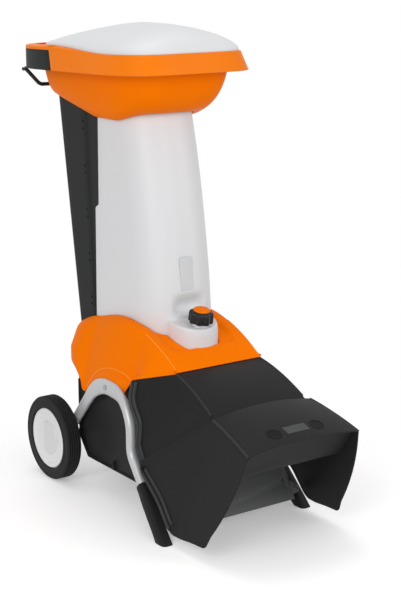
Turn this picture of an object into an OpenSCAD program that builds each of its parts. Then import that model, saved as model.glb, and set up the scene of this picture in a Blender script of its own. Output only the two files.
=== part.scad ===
// Garden shredder on wheels: hopper shaft that tilts back, motor and knife disc, discharge chute.
// Millimetres, Z up, the discharge side faces -Y, origin on the ground under the middle.

/* [Wheels] */
// Tyre outside diameter
wheel_d = 264; // [230:1:280]
// Tyre width
wheel_w = 50; // [42:1:56]
// Distance over the outer faces of the two tyres
wheel_span = 516; // [500:1:560]
// Hub cap diameter
hub_cap_d = 189; // [150:1:195]
// Axle diameter
axle_d = 20; // [14:1:22]
// Place of the axle behind the middle of the machine
axle_y = 372; // [360:1:390]

/* [Frame tubes] */
// Tube diameter
tube_d = 28; // [24:1:30]
// Tube wall thickness
tube_wall = 2; // [1.5:0.5:3]
// Height of the tube where it is pressed flat on top of the arch
flat_h = 46; // [36:1:50]
// Thickness of the pressed flat stretch
flat_t = 14; // [10:1:18]
// Height of the arch's centre line
arch_z = 366; // [355:1:380]
// Where the arch turns down to the axle
arch_rear_y = 138; // [120:1:150]
// Place of the upright stretch of the front leg
leg_y = -75; // [-85:1:-65]
// Height of the knee above the foot
knee_z = 205; // [190:1:220]
// Where a foot meets the ground
foot_y = -272; // [-290:1:-260]
// Half the distance between the feet
foot_x = 249; // [244:1:256]
// Length of the spacer between a tube and its wheel
spacer_l = 12; // [6:1:16]
// Width of a foot sleeve
foot_w = 38; // [36:1:44]
// Height of a foot sleeve's upper end
foot_h = 134; // [100:1:150]

/* [Discharge chute] */
// Place of the seam between hood and chute
seam_y = -188; // [-200:1:-175]
// Height of that seam
seam_z = 461; // [450:1:470]
// Half width of the chute's ridge at the seam
seam_w = 149; // [140:1:155]
// Place of the break line where the flap begins
break_y = -409; // [-430:1:-390]
// Height of the break line
break_z = 383; // [370:1:395]
// Half width of the ridge at the break line
break_w = 172; // [165:1:178]
// Place of the visor's front edge
front_y = -587; // [-610:1:-570]
// Height of the visor's front corners
front_z = 336; // [320:1:350]
// Half width of the visor's front edge
front_w = 192; // [185:1:200]
// How far the visor is crowned in the middle
visor_crown = 16; // [4:1:24]
// Place of the side walls' lower front corner
lip_y = -454; // [-480:1:-430]
// Height of that corner
lip_z = 44; // [30:1:60]
// Half width there
lip_w = 239; // [230:1:245]
// Wall thickness of chute and flap
chute_wall = 4; // [3:0.5:5]
// How far the flap stands outside the chute
flap_step = 8; // [6:0.5:10]
// Place of the flap's pivot
pivot_y = -150; // [-160:1:-140]
// Height of the flap's pivot
pivot_z = 186; // [176:1:196]
// Pivot pin diameter
pivot_d = 10; // [6:1:14]

/* [Motor hood and base] */
// Highest line of the hood's shoulders
hood_top_z = 561; // [555:1:570]
// Rear face of the hood
hood_rear_y = 428; // [424:1:440]
// Half width of the hood's sides
hood_side_w = 192; // [188:1:198]
// Wall thickness of the hood
hood_wall = 4; // [3:0.5:5]
// Half width of the base pan
pan_w = 178; // [170:1:182]
// Underside of the base pan
pan_z = 92; // [80:1:105]
// Wall thickness of the base pan
pan_wall = 4; // [3:0.5:6]
// Thickness of the front ramp plate
ramp_t = 4; // [3:0.5:6]

/* [Shaft of the hopper] */
// Half width of the shaft at its foot
shaft_w_low = 122; // [118:1:124]
// Half width of the shaft at its top
shaft_w_top = 118; // [112:1:122]
// Lower end of the shaft, inside the hood
shaft_low_z = 484; // [480:1:490]
// Upper end of the shaft, inside the bowl
shaft_top_z = 1172; // [1150:1:1200]
// Wall thickness of the two shells
shaft_wall = 4; // [3:0.5:5]
// Radius of the front shell's corners
shaft_r = 98; // [80:1:105]
// Radius of the rear shell's corners
rear_r = 25; // [15:1:40]
// Screw head diameter along the seam
seam_screw_d = 8; // [6:0.5:10]

/* [Hopper bowl and hood] */
// Half width of the rim
rim_w = 230; // [220:1:240]
// Front of the rim
rim_front_y = -100; // [-120:1:-80]
// Rear of the rim
rim_rear_y = 590; // [575:1:600]
// Height of the rim's top at the front
rim_z = 1338; // [1330:1:1350]
// Height of the rim's skirt at the front
skirt_front_h = 51; // [45:1:58]
// Height of the skirt at the rear
skirt_rear_h = 68; // [60:1:76]
// Wall thickness of bowl, skirt and hopper hood
bowl_wall = 4; // [3:0.5:5]
// Top of the hopper hood
dome_top_z = 1416; // [1400:1:1440]
// Rear edge of the hopper hood, where the feed mouth opens
mouth_y = 412; // [400:1:440]
// Where the dark rear guard begins on the sides
guard_y = 400; // [380:1:420]
// Handle bar diameter
handle_d = 12; // [10:1:16]

/* [Lock knob] */
// Knob diameter over its lobes
knob_d = 74; // [60:1:84]
// Knob height
knob_h = 38; // [30:1:46]
// Diameter of the knob's cap
knob_cap_d = 38; // [28:1:44]
// Forward lean of the knob
knob_tilt = 11; // [0:1:20]
// Stud diameter
stud_d = 10; // [8:1:14]

/* [Cutting unit] */
// Knife disc diameter
disc_d = 270; // [240:1:280]
// Gap between the knife disc and the wall of the cutting chamber
disc_gap = 10; // [8:0.5:14]
// Motor diameter
motor_d = 150; // [130:1:160]
// Rotor shaft diameter
shaft_d = 24; // [18:1:28]
// Place of the rotor's axis
rotor_y = 100; // [95:1:105]

/* [Fits] */
// Gap between pieces that move past each other
run_gap = 0.5; // [0.4:0.1:1]
// Gap between pieces that are fixed to each other
fix_gap = 0.2; // [0.1:0.05:0.4]
// Radial play of pins and shafts in their bores
pin_gap = 0.05; // [0.02:0.01:0.08]
// Gap round the shaft where it drops into the hood
collar_gap = 4; // [3:0.5:5]

/* [Hidden] */
$fn = 48;
eps = 0.01;

orange = [0.95, 0.45, 0.0];
white = [0.92, 0.92, 0.93];
black = [0.16, 0.16, 0.17];
dark_grey = [0.25, 0.26, 0.26];
silver = [0.75, 0.76, 0.77];
pale_grey = [0.86, 0.86, 0.86];
rubber = [0.12, 0.12, 0.12];
steel = [0.6, 0.61, 0.62];

wheel_r = wheel_d / 2;
axle_z = wheel_r;
wheel_out = wheel_span / 2;
wheel_in = wheel_out - wheel_w;
rear_half_h = 17;
rear_half_t = 11;
rear_x = wheel_in - spacer_l - rear_half_t;
chamber_d = disc_d + 2 * disc_gap;

// Common helpers: blends, rounded corners and grids of points

function lerp(a, b, t) = a + (b - a) * t;
function ease(t) = let (c = min(1, max(0, t))) c * c * (3 - 2 * c);
function unit(v) = v / norm(v);
function mean(points) = [for (p = points) 1] * points / len(points);
function flip(p) = [-p[0], p[1], p[2]];
function power(v, e) = sign(v) * pow(abs(v), e);

// Arc that rounds the corner at q on the way from p to s
function corner(p, q, s, r, n) =
    let (u = unit(p - q), v = unit(s - q), half = acos(u * v) / 2, turn = 180 - 2 * half,
         centre = q + unit(u + v) * r / sin(half),
         a = q + u * r / tan(half) - centre, b = q + v * r / tan(half) - centre)
    [for (i = [0:n]) centre + (a * sin(turn * (1 - i / n)) + b * sin(turn * i / n)) / sin(turn)];

// Curve of three control points
function curve(a, b, c, n) =
    [for (i = [0:n]) let (t = i / n) a * pow(1 - t, 2) + b * 2 * t * (1 - t) + c * pow(t, 2)];

// Outward normal of a grid of points at one place
function grid_normal(g, i, j, ring) =
    let (m = len(g), n = len(g[0]),
         after = ring ? (j + 1) % n : min(n - 1, j + 1),
         before = ring ? (j + n - 1) % n : max(0, j - 1))
    unit(cross(g[i][after] - g[i][before], g[min(m - 1, i + 1)][j] - g[max(0, i - 1)][j]));

function inset_grid(g, wall, ring) =
    [for (i = [0:len(g) - 1]) [for (j = [0:len(g[0]) - 1]) g[i][j] - wall * grid_normal(g, i, j, ring)]];

function halves(q) = [[q[0], q[1], q[2]], [q[0], q[2], q[3]]];

// Shell of even wall behind a grid of outside points; ring joins the columns, capped closes the last row
module shell(g, wall, ring = false, capped = false) {
    m = len(g);
    n = len(g[0]);
    raw = inset_grid(g, wall, ring);
    back = capped ? wall * unit(mean(g[m - 1]) - mean(g[m - 2])) : [0, 0, 0];
    inner = [for (i = [0:m - 1]) [for (p = raw[i]) i == m - 1 ? p - back : p]];
    last = ring ? n - 1 : n - 2;
    function at(side, i, j) = side * m * n + i * n + j % n;
    walls = [for (i = [0:m - 2], j = [0:last]) each [
        [at(0, i, j), at(0, i + 1, j), at(0, i + 1, j + 1), at(0, i, j + 1)],
        [at(1, i, j), at(1, i, j + 1), at(1, i + 1, j + 1), at(1, i + 1, j)]]];
    start = [for (j = [0:last]) [at(0, 0, j), at(0, 0, j + 1), at(1, 0, j + 1), at(1, 0, j)]];
    end = capped ? [] : [for (j = [0:last])
        [at(0, m - 1, j), at(1, m - 1, j), at(1, m - 1, j + 1), at(0, m - 1, j + 1)]];
    sides = ring ? [] : [for (i = [0:m - 2]) each [
        [at(0, i, 0), at(1, i, 0), at(1, i + 1, 0), at(0, i + 1, 0)],
        [at(0, i, n - 1), at(0, i + 1, n - 1), at(1, i + 1, n - 1), at(1, i, n - 1)]]];
    cap = !capped ? [] : concat(
        [for (j = [0:floor(n / 2) - 1]) each [
            [at(0, m - 1, j), at(0, m - 1, n - 1 - j), at(0, m - 1, n - 2 - j), at(0, m - 1, j + 1)],
            [at(1, m - 1, j), at(1, m - 1, j + 1), at(1, m - 1, n - 2 - j), at(1, m - 1, n - 1 - j)]]],
        [[at(0, m - 1, 0), at(1, m - 1, 0), at(1, m - 1, n - 1), at(0, m - 1, n - 1)]]);
    faces = [for (q = concat(walls, start, end, sides, cap)) each halves(q)];
    polyhedron(concat([for (r = g) each r], [for (r = inner) each r]),
        [for (f = faces) if (f[0] != f[1] && f[1] != f[2] && f[2] != f[0]) f], convexity = 8);
}

// Solid through closed rings of points
module loft(g) {
    m = len(g);
    n = len(g[0]);
    sides = [for (i = [0:m - 2], j = [0:n - 1]) each halves(
        [i * n + j, (i + 1) * n + j, (i + 1) * n + (j + 1) % n, i * n + (j + 1) % n])];
    low = [for (j = [0:n - 1]) [m * n, j, (j + 1) % n]];
    high = [for (j = [0:n - 1]) [m * n + 1, (m - 1) * n + (j + 1) % n, (m - 1) * n + j]];
    points = concat([for (r = g) each r], [mean(g[0]), mean(g[m - 1])]);
    polyhedron(points, concat(sides, low, high), convexity = 6);
}

module mirrored() {
    children();
    mirror([1, 0, 0]) children();
}

module along_x(x0, x1, y, z) {
    translate([x0, y, z]) rotate([0, 90, 0]) linear_extrude(x1 - x0) children();
}

// Extrudes a drawing of [y, z] points across the machine
module across(x0, x1) {
    translate([x0, 0, 0]) rotate([90, 0, 90]) linear_extrude(x1 - x0) children();
}

// Frame tubes: one bent tube on each side, from the axle over the arch to the foot

arch_rear_r = 110;
arch_front_r = 95;
knee_r = 60;
tube_end = 18;
foot_floor = 14;
foot_dir = unit([leg_y - foot_y, knee_z] * -1);
axle_point = [axle_y, axle_z];
arch_rear = [arch_rear_y, arch_z];
arch_front = [leg_y, arch_z];
knee = [leg_y, knee_z];
foot_point = [foot_y, 0];

function leg_x(y) = lerp(foot_x, rear_x, (y - foot_y) / (axle_y - foot_y));
// How far the tube is pressed flat: 1 on top of the arch
function pressed(y) = ease((y - leg_y - 12) / 90) * ease((arch_rear_y + 100 - y) / 100);
function to_rear(y) = ease((y - arch_rear_y) / 90);
function tube_half_h(y) = lerp(lerp(tube_d / 2, rear_half_h, to_rear(y)), flat_h / 2, pressed(y));
function tube_half_t(y) = lerp(lerp(tube_d / 2, rear_half_t, to_rear(y)), flat_t / 2, pressed(y));

leg_path = concat(
    [axle_point + tube_end * unit(axle_point - arch_rear)],
    [lerp(axle_point, arch_rear, 0.3)],
    corner(axle_point, arch_rear, arch_front, arch_rear_r, 5),
    corner(arch_rear, arch_front, knee, arch_front_r, 7),
    corner(arch_front, knee, foot_point, knee_r, 4),
    [lerp(knee, foot_point, 0.55)],
    [foot_point - foot_floor * foot_dir]);

function path_normal(path, i) =
    let (d = unit(path[min(len(path) - 1, i + 1)] - path[max(0, i - 1)])) [-d[1], d[0]];

// Rings of points round a path that lies in the leg's plane
function leg_rings(path, grow, sides) =
    [for (i = [0:len(path) - 1]) let (p = path[i], n = path_normal(path, i))
        [for (k = [0:sides - 1]) let (a = 360 * k / sides,
            h = (tube_half_h(p[0]) + grow) * cos(a), t = (tube_half_t(p[0]) + grow) * sin(a))
            [-leg_x(p[0]) + t, p[0] + h * n[0], p[1] + h * n[1]]]];

screw_y = 79;
screw_z = 364;
screw_d = 8;

module frame_tube() {
    difference() {
        shell(leg_rings(leg_path, 0, 12), tube_wall, ring = true);
        translate([-rear_x - 2 * rear_half_t, axle_y, axle_z]) rotate([0, 90, 0])
            cylinder(d = axle_d + 2 * fix_gap, h = 4 * rear_half_t);
        translate([-leg_x(screw_y) - flat_t, screw_y, screw_z]) rotate([0, 90, 0])
            cylinder(d = screw_d + 2 * fix_gap, h = 2 * flat_t);
    }
}

module frame_left() { color(silver) frame_tube(); }
module frame_right() { color(silver) mirror([1, 0, 0]) frame_tube(); }

// Foot sleeve: a rounded box round the tube's lower end, cut level with the ground

function foot_ring(centre, half) =
    let (n = [-foot_dir[1], foot_dir[0]])
    [for (k = [0:15])
        let (a = 360 * k / 16 + 11.25, h = half * power(cos(a), 0.6), t = half * power(sin(a), 0.6))
        [-leg_x(centre[0]) + t, centre[0] + h * n[0], centre[1] + h * n[1]]];
function on_ground(p) = p + [0, foot_dir[0], foot_dir[1]] * (-p[2] / foot_dir[1]);
foot_top = foot_point - foot_dir * (foot_h / -foot_dir[1]);

module foot_sleeve() {
    low = [for (p = foot_ring(foot_point, foot_w / 2)) on_ground(p)];
    mid = foot_ring(lerp(foot_point, foot_top, 0.35), foot_w / 2);
    last = len(leg_path) - 1;
    difference() {
        loft([foot_ring(foot_top, foot_w / 2 - 2), mid, low]);
        loft(leg_rings([leg_path[last - 1] - 60 * foot_dir, leg_path[last] + foot_dir], 2 * fix_gap, 12));
    }
}

module foot_left() { color(black) foot_sleeve(); }
module foot_right() { color(black) mirror([1, 0, 0]) foot_sleeve(); }

screw_head_d = 16;
screw_head_h = 3;
module frame_screw() {
    outer = leg_x(screw_y) + flat_t / 2 + 3 * fix_gap;
    translate([-outer - screw_head_h, screw_y, screw_z]) rotate([0, 90, 0]) {
        difference() {
            cylinder(d = screw_head_d, h = screw_head_h);
            translate([0, 0, -eps]) cylinder(d = 6, h = 2, $fn = 6);
        }
        cylinder(d = screw_d, h = screw_head_h + outer - pan_w + pan_wall);
    }
}
module frame_screws() { color(steel) mirrored() frame_screw(); }

// Axle and wheels

hub_r = 24;
nut_t = 4;
axle_end = wheel_out - 10;
rim_r = hub_cap_d / 2 + 2;
cap_depth = 7;
rim_top = wheel_w - 4 - cap_depth;

module axle() { color(steel) along_x(-axle_end, axle_end, axle_y, axle_z) circle(d = axle_d); }

module axle_spacers() {
    start = rear_x + rear_half_t + 6 * fix_gap;
    color(steel) mirrored() along_x(start, wheel_in - run_gap, axle_y, axle_z) difference() {
        circle(d = axle_d + 12);
        circle(d = axle_d + 2 * fix_gap);
    }
}

module push_nuts() {
    color(steel) mirrored() along_x(axle_end - nut_t, axle_end, axle_y, axle_z) difference() {
        circle(d = axle_d + 14);
        circle(d = axle_d);
    }
}

// Turns a drawing of [radius, distance from the inner face] about the axle
module wheel_turn() {
    translate([-wheel_in, axle_y, axle_z]) rotate([0, -90, 0]) rotate_extrude($fn = 72) children();
}

hub_end = axle_end - nut_t - run_gap - wheel_in;
module wheel_rim() {
    wheel_turn() union() {
        translate([axle_d / 2 + pin_gap, 0]) square([hub_r - axle_d / 2, hub_end]);
        translate([hub_r - 1, hub_end / 2 - 3]) square([rim_r - hub_r, 6]);
        translate([rim_r - 6, 4]) square([6, rim_top - 4]);
    }
}

groove_d = 3;
module tyre() {
    shoulder = 9;
    tread = wheel_w - 2 * shoulder;
    wheel_turn() difference() {
        polygon(concat(
            [[rim_r + fix_gap, 1.5], [rim_r + fix_gap, wheel_w - 1.5]],
            corner([rim_r, wheel_w], [wheel_r, wheel_w], [wheel_r, 0], shoulder, 5),
            corner([wheel_r, wheel_w], [wheel_r, 0], [rim_r, 0], shoulder, 5)));
        for (k = [0:4]) translate([wheel_r, shoulder + tread * k / 4]) square(groove_d, center = true);
    }
}

module hub_cap() {
    dish = 4;
    lens_r = hub_cap_d * 0.27;
    cap_r = hub_cap_d / 2;
    union() {
        wheel_turn() polygon(concat(
            [[0, wheel_w - 8.5], [rim_r - 8.5, wheel_w - 8.5], [rim_r - 8.5, rim_top - 6],
             [rim_r - 6 - fix_gap, rim_top - 6], [rim_r - 6 - fix_gap, rim_top + fix_gap],
             [hub_cap_d / 2, rim_top + fix_gap]],
            curve([cap_r, wheel_w - 4], [cap_r - 3, wheel_w - 1], [cap_r - 12, wheel_w - 1], 4),
            [[0, wheel_w - 1 - dish]]));
        translate([-wheel_out + 2 + dish, axle_y, axle_z]) rotate([0, -90, 0]) linear_extrude(dish + 0.5)
            difference() {
                circle(r = lens_r);
                translate([-lens_r, lens_r * 0.45]) square(2 * lens_r);
            }
    }
}

module wheel_rim_left() { color(pale_grey) wheel_rim(); }
module wheel_rim_right() { color(pale_grey) mirror([1, 0, 0]) wheel_rim(); }
module tyre_left() { color(rubber) tyre(); }
module tyre_right() { color(rubber) mirror([1, 0, 0]) tyre(); }
module hub_cap_left() { color(pale_grey) hub_cap(); }
module hub_cap_right() { color(pale_grey) mirror([1, 0, 0]) hub_cap(); }

// Rows of a roof-like shell: from the lower edge up the side, over the ridge, to the middle and down again

// low: lower edge, waist: where the side begins, ridge, crown: middle; soft: how far the ridge is rounded
function roof_row(low, waist, ridge, crown, soft, bow) =
    let (s = lerp(ridge, waist, soft), t = lerp(ridge, crown, soft),
         side = [for (k = [0:4]) lerp(waist, s, k / 4) + bow * 4 * k / 4 * (1 - k / 4)],
         half = concat([low], side, [for (i = [1:3]) curve(s, ridge, t, 4)[i]], [t, lerp(t, crown, 0.5)]))
    concat(half, [crown], [for (i = [len(half) - 1:-1:0]) flip(half[i])]);

// Motor hood: sections from the seam with the chute to the flat rear face

hood_peak_y = rotor_y;
hood_fall = 61;
hood_fall_run = 270;
hood_round_y = 272;
hood_round_p = 2.3;
hood_round_end = 0.93;
hood_ridge_w = 148;
side_seam_y = -58;
side_seam_z = 420;
flare_h = 36;
// Lower edge of the hood behind the side seam
hood_edge = [[side_seam_y, side_seam_z], [-25, 385], [5, 350], [94, 343], [170, 316], [225, 318],
             [300, 345], [360, 375], [hood_rear_y, 386]];

function hood_ridge_z(y) = y < hood_peak_y
    ? seam_z + (hood_top_z - seam_z) * pow(sin(90 * (y - seam_y) / (hood_peak_y - seam_y)), 0.8)
    : hood_top_z - hood_fall * pow((y - hood_peak_y) / hood_fall_run, 2);
function hood_round(y) = hood_round_end * (y - hood_round_y) / (hood_rear_y - hood_round_y);
function hood_plan(y) = y < hood_round_y ? 1 : pow(1 - pow(hood_round(y), hood_round_p), 1 / hood_round_p);
function on_side_seam(y) = (y - seam_y) / (side_seam_y - seam_y);
function hood_low(y) = y < side_seam_y
    ? [-lerp(seam_w + 1, flare_w(side_seam_y), on_side_seam(y)), y,
       lerp(seam_z - 3, side_seam_z, on_side_seam(y))]
    : [-flare_w(y), y, lookup(y, hood_edge)];
function flare_w(y) = max(hood_side_w * hood_plan(y),
    (leg_x(y) - tube_half_t(y) - 3 * fix_gap) * (y < 225 ? 1 : 0));
function hood_waist(y) =
    let (low = hood_low(y), ridge_z = hood_ridge_z(y))
    [-lerp(-low[0], min(-low[0], hood_side_w * hood_plan(y)), ease((y - side_seam_y + 60) / 60)), y,
     min(low[2] + flare_h, lerp(low[2], ridge_z, 0.35))];
function hood_row(y) =
    let (ridge = [-hood_ridge_w * pow(hood_plan(y), 0.8), y, hood_ridge_z(y)])
    roof_row(hood_low(y), hood_waist(y), ridge, [0, y, ridge[2] + 2], lerp(0.05, 0.45, ease((y - 20) / 220)),
        [-4 * ease((y - seam_y) / 100), 0, 0]);
hood_places = concat([seam_y, -165, -135, -100, side_seam_y, -25, 5, 50, 94, 135, 170, 225, 250],
    [hood_round_y], [for (k = [1:7]) lerp(hood_round_y, hood_rear_y, sin(90 * k / 7))]);

// Outline of the shaft with its nose, seen from above, grown by a gap
module shaft_outline(z, gap) {
    polygon(concat(
        [for (p = front_profile(z, gap)) [p[0], p[1]]],
        [[shaft_w(z) + gap, rear_y(z) + gap], [-shaft_w(z) - gap, rear_y(z) + gap]]));
    nose_outline(gap);
}

switch_w = 96;
switch_h = 56;
switch_z = 424;
module motor_hood() {
    color(orange) difference() {
        shell([for (y = hood_places) hood_row(y)], hood_wall, capped = true);
        translate([0, 0, shaft_low_z - 30]) linear_extrude(140) shaft_outline(shaft_low_z + 20, collar_gap);
        translate([-switch_w / 2 + 5, hood_rear_y - 20, switch_z - switch_h / 2 + 4])
            cube([switch_w - 10, 40, switch_h - 8]);
        mirrored() translate([-leg_x(screw_y) - 20, screw_y, screw_z]) rotate([0, 90, 0])
            cylinder(d = screw_d + 2 * fix_gap, h = 60);
    }
}

// Base pan with the ledges that carry the cutting chamber, and the ramp in front of it

ramp_low = [-293, 38];
ramp_high = [-150, 276];
ramp_w = 205;
pan_top = 392;
ledge_z = 330;
ledge_w = 14;
ramp_dir = unit(ramp_high - ramp_low);
ramp_back = [ramp_dir[1], -ramp_dir[0]] * (ramp_t + fix_gap);
function on_ramp(z) = ramp_low + ramp_dir * (z - ramp_low[1]) / ramp_dir[1];
pan_points = [[304, pan_top], [300, 150], [252, pan_z], on_ramp(pan_z - ramp_back[1]) + ramp_back,
    on_ramp(ramp_high[1] + 6) + ramp_back, [-96, pan_top]];
pan_centre = mean(pan_points);
function pan_inner(p) = p - pan_wall * 1.3 * unit(p - pan_centre);

module base_pan() {
    boss_d = 26;
    boss_h = 8;
    color(black) difference() {
        union() {
            difference() {
                across(-pan_w, pan_w) polygon(pan_points);
                across(-pan_w + pan_wall, pan_w - pan_wall)
                    polygon(concat([[299, pan_top + 10]], [for (q = pan_points) pan_inner(q)],
                        [[-90, pan_top + 10]]));
            }
            mirrored() translate([-pan_w + eps, -80, ledge_z - 10]) cube([ledge_w, 376, 10]);
            mirrored() translate([-pan_w - boss_h, screw_y, screw_z]) rotate([0, 90, 0])
                cylinder(d = boss_d, h = boss_h + pan_wall);
        }
        mirrored() translate([-pan_w - 60, screw_y, screw_z]) rotate([0, 90, 0])
            cylinder(d = screw_d, h = 60 + 2 * pan_wall);
        for (x = [-90:30:90]) translate([x - 9, 120, pan_z - 10]) cube([18, 90, 40]);
        translate([-pan_w + 3 * pan_wall, -180, ramp_high[1] + 12])
            cube([2 * pan_w - 6 * pan_wall, 100, 200]);
    }
}

module front_ramp() {
    hole = on_ramp(88);
    depth = ramp_back * ramp_t / (ramp_t + fix_gap);
    lean = 90 - atan2(ramp_dir[1], ramp_dir[0]);
    color(dark_grey) difference() {
        across(-ramp_w, ramp_w) polygon([ramp_low, ramp_high, ramp_high + depth, ramp_low + depth]);
        mirrored() translate([ramp_w - 20, hole[0], hole[1]]) rotate([lean, 0, 0])
            rotate([90, 0, 0]) cylinder(d = 8, h = 40, center = true);
    }
}

// Discharge chute: fixed upper part, from the seam to just under the flap

edge_gap = 12;
seam_gap = 2;
function beside_leg(p, n, reach) = [-leg_x(p[0]) + 5, p[0] + n[0] * reach, p[1] + n[1] * reach];
edge_reach = tube_d / 2 + edge_gap;
chute_bulge = 12;
chute_under = 26;
foot_side = [foot_dir[1], -foot_dir[0]];
chute_end = lerp(break_y, front_y, 0.14);
// Rear edge of the side wall, beside the leg
chute_edge = [
    [-flare_w(side_seam_y), side_seam_y - seam_gap, side_seam_z - seam_gap],
    beside_leg([leg_y, 352], [-1, 0], edge_reach - 4),
    beside_leg([leg_y, 300], [-1, 0], edge_reach),
    beside_leg([leg_y, 255], [-1, 0], edge_reach),
    beside_leg([leg_y, 222], [-1, 0], edge_reach),
    beside_leg(knee + foot_dir * 82, foot_side, edge_reach + 1)];
function chute_ridge(t) =
    [-lerp(seam_w, break_w - flap_step, t), lerp(seam_y - seam_gap, chute_end + chute_under, t),
     lerp(seam_z - seam_gap, break_z - flap_step - 4, t) + chute_bulge * 4 * t * (1 - t)];
function chute_row(k) =
    let (r = chute_ridge(k / 5), low = chute_edge[k])
    roof_row(low, lerp(low, r, 0.12), r, [0, r[1], r[2] + visor_crown * 0.6 * k / 5], 0.05, [0, 0, 0]);

module discharge_chute() {
    color(black) difference() {
        shell([for (k = [5:-1:0]) chute_row(k)], chute_wall);
        mirrored() translate([-foot_x, pivot_y, pivot_z]) rotate([0, 90, 0])
            cylinder(d = pivot_d + 2 * fix_gap, h = 80);
    }
}

// Discharge flap: visor and the front side walls in one piece, hung on the two pivots

flap_bow = 14;
flap_edge = [
    [-leg_x(pivot_y) + 5 - flap_step, pivot_y + 16, pivot_z + 15],
    [-leg_x(pivot_y) + 5 - flap_step, pivot_y + 9, pivot_z - 15],
    [-lip_w - 5, -222, 104],
    [-lip_w - 7, -282, 44],
    [-lip_w - 5, -330, 36],
    [-lip_w - 2, -395, lip_z - 3],
    [-lip_w, lip_y, lip_z]];
function flap_ridge(t) =
    [-lerp(break_w, front_w, t), lerp(break_y, front_y, t), lerp(break_z, front_z, t) + 5 * 4 * t * (1 - t)];
function flap_row(k) =
    let (t = max(0, (k - 1) / 5), r = flap_ridge(k == 0 ? -0.06 : t), low = flap_edge[k])
    roof_row(low, lerp(low, r, 0.1), r, [0, r[1] - 3 * t, r[2] + visor_crown], 0.06, [0, -flap_bow * t, 0]);

module discharge_flap() {
    color(black) difference() {
        shell([for (k = [6:-1:0]) flap_row(k)], chute_wall);
        mirrored() translate([-foot_x - 30, pivot_y, pivot_z]) rotate([0, 90, 0])
            cylinder(d = pivot_d + 2 * pin_gap, h = 100);
    }
}

baffle_low = [-508, 248];
baffle_high = [-573, 326];
baffle_low_w = 200.9;
baffle_high_w = 188.4;
baffle_t = 3;
module flap_baffle() {
    run = norm(baffle_high - baffle_low);
    lean = atan2(baffle_low[0] - baffle_high[0], baffle_high[1] - baffle_low[1]);
    color(dark_grey) translate([0, baffle_low[0], baffle_low[1]]) rotate([90 + lean, 0, 0])
        linear_extrude(baffle_t)
        polygon([[-baffle_low_w, 0], [baffle_low_w, 0], [baffle_high_w, run], [-baffle_high_w, run]]);
}

module flap_pins() {
    color(black) mirrored() along_x(-leg_x(pivot_y) - flap_step - 2, -leg_x(pivot_y) + 22, pivot_y, pivot_z)
        circle(d = pivot_d);
}

// Cutting unit and motor on one upright axis

floor_z = ledge_z;
floor_t = 5;
chamber_h = 132;
chamber_t = 4;
disc_z = 402;
disc_t = 6;
shield_t = 16;
motor_top = floor_z;
motor_low = pan_z + pan_wall * 2 + 4;
bearing_t = 12;
bearing_d = shaft_d + 22;

module at_rotor(z) { translate([0, rotor_y, z]) children(); }

module ring(outer_d, inner_d, h) {
    difference() {
        cylinder(d = outer_d, h = h);
        translate([0, 0, -eps]) cylinder(d = inner_d, h = h + 2 * eps);
    }
}

floor_front_y = -78;
floor_l = 376;
shaft_hole_gap = 4;
window_w = 200;
window_h = 92;
module cutting_chamber() {
    half = pan_w - pan_wall - fix_gap;
    color(silver) difference() {
        union() {
            translate([-half, floor_front_y, floor_z]) cube([2 * half, floor_l, floor_t]);
            at_rotor(floor_z + floor_t - eps) ring(chamber_d + 2 * chamber_t, chamber_d, chamber_h);
        }
        at_rotor(floor_z - eps) cylinder(d = shaft_d + 2 * shaft_hole_gap, h = 2 * floor_t);
        translate([-window_w / 2, rotor_y - chamber_d, floor_z + floor_t])
            cube([window_w, chamber_d, window_h]);
    }
}

module motor_shell() {
    run = motor_top - motor_low - 2 * shield_t;
    color(dark_grey) at_rotor(motor_low + shield_t) ring(motor_d, motor_d - 6, run);
}

module shield() {
    difference() {
        cylinder(d = motor_d, h = shield_t);
        translate([0, 0, shield_t - bearing_t]) cylinder(d = bearing_d, h = bearing_t + eps);
        translate([0, 0, -eps]) cylinder(d = shaft_d + 4, h = shield_t + 1);
    }
}

module motor_shield_bottom() { color(silver) at_rotor(motor_low) shield(); }
module motor_shield_top() { color(silver) at_rotor(motor_top) rotate([180, 0, 0]) shield(); }

module bearings() {
    color(steel) for (z = [motor_low + shield_t - bearing_t, motor_top - shield_t])
        at_rotor(z) ring(bearing_d, shaft_d + 2 * pin_gap, bearing_t);
}

core_h = 110;
core_z = (motor_low + motor_top) / 2 - core_h / 2 + 8;
core_d = motor_d * 0.56;
module stator() {
    color([0.55, 0.32, 0.18]) at_rotor(core_z) ring(motor_d - 6, core_d + 3, core_h);
}
module rotor_core() { color(steel) at_rotor(core_z) ring(core_d, shaft_d, core_h); }

shaft_low = motor_low + shield_t - bearing_t + 1;
module rotor_shaft() {
    color(steel) at_rotor(shaft_low) difference() {
        cylinder(d = shaft_d, h = disc_z - shaft_low);
        translate([0, 0, disc_z - shaft_low - 30]) cylinder(d = bolt_d, h = 31);
    }
}

fan_d = motor_d - 14;
fan_h = 20;
fan_t = 3;
fan_hub = 6;
fan_blades = 9;
module cooling_fan() {
    color(black) at_rotor(motor_low + shield_t + fan_t + 1) difference() {
        union() {
            cylinder(d = fan_d, h = fan_t);
            cylinder(d = shaft_d + 2 * fan_hub, h = fan_h);
            for (k = [0:fan_blades - 1]) rotate(360 * k / fan_blades)
                translate([shaft_d / 2 + fan_hub / 2, -fan_t / 2, 0])
                cube([fan_d / 2 - shaft_d / 2 - fan_hub, fan_t, fan_h]);
        }
        translate([0, 0, -eps]) cylinder(d = shaft_d, h = fan_h + 1);
    }
}

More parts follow.
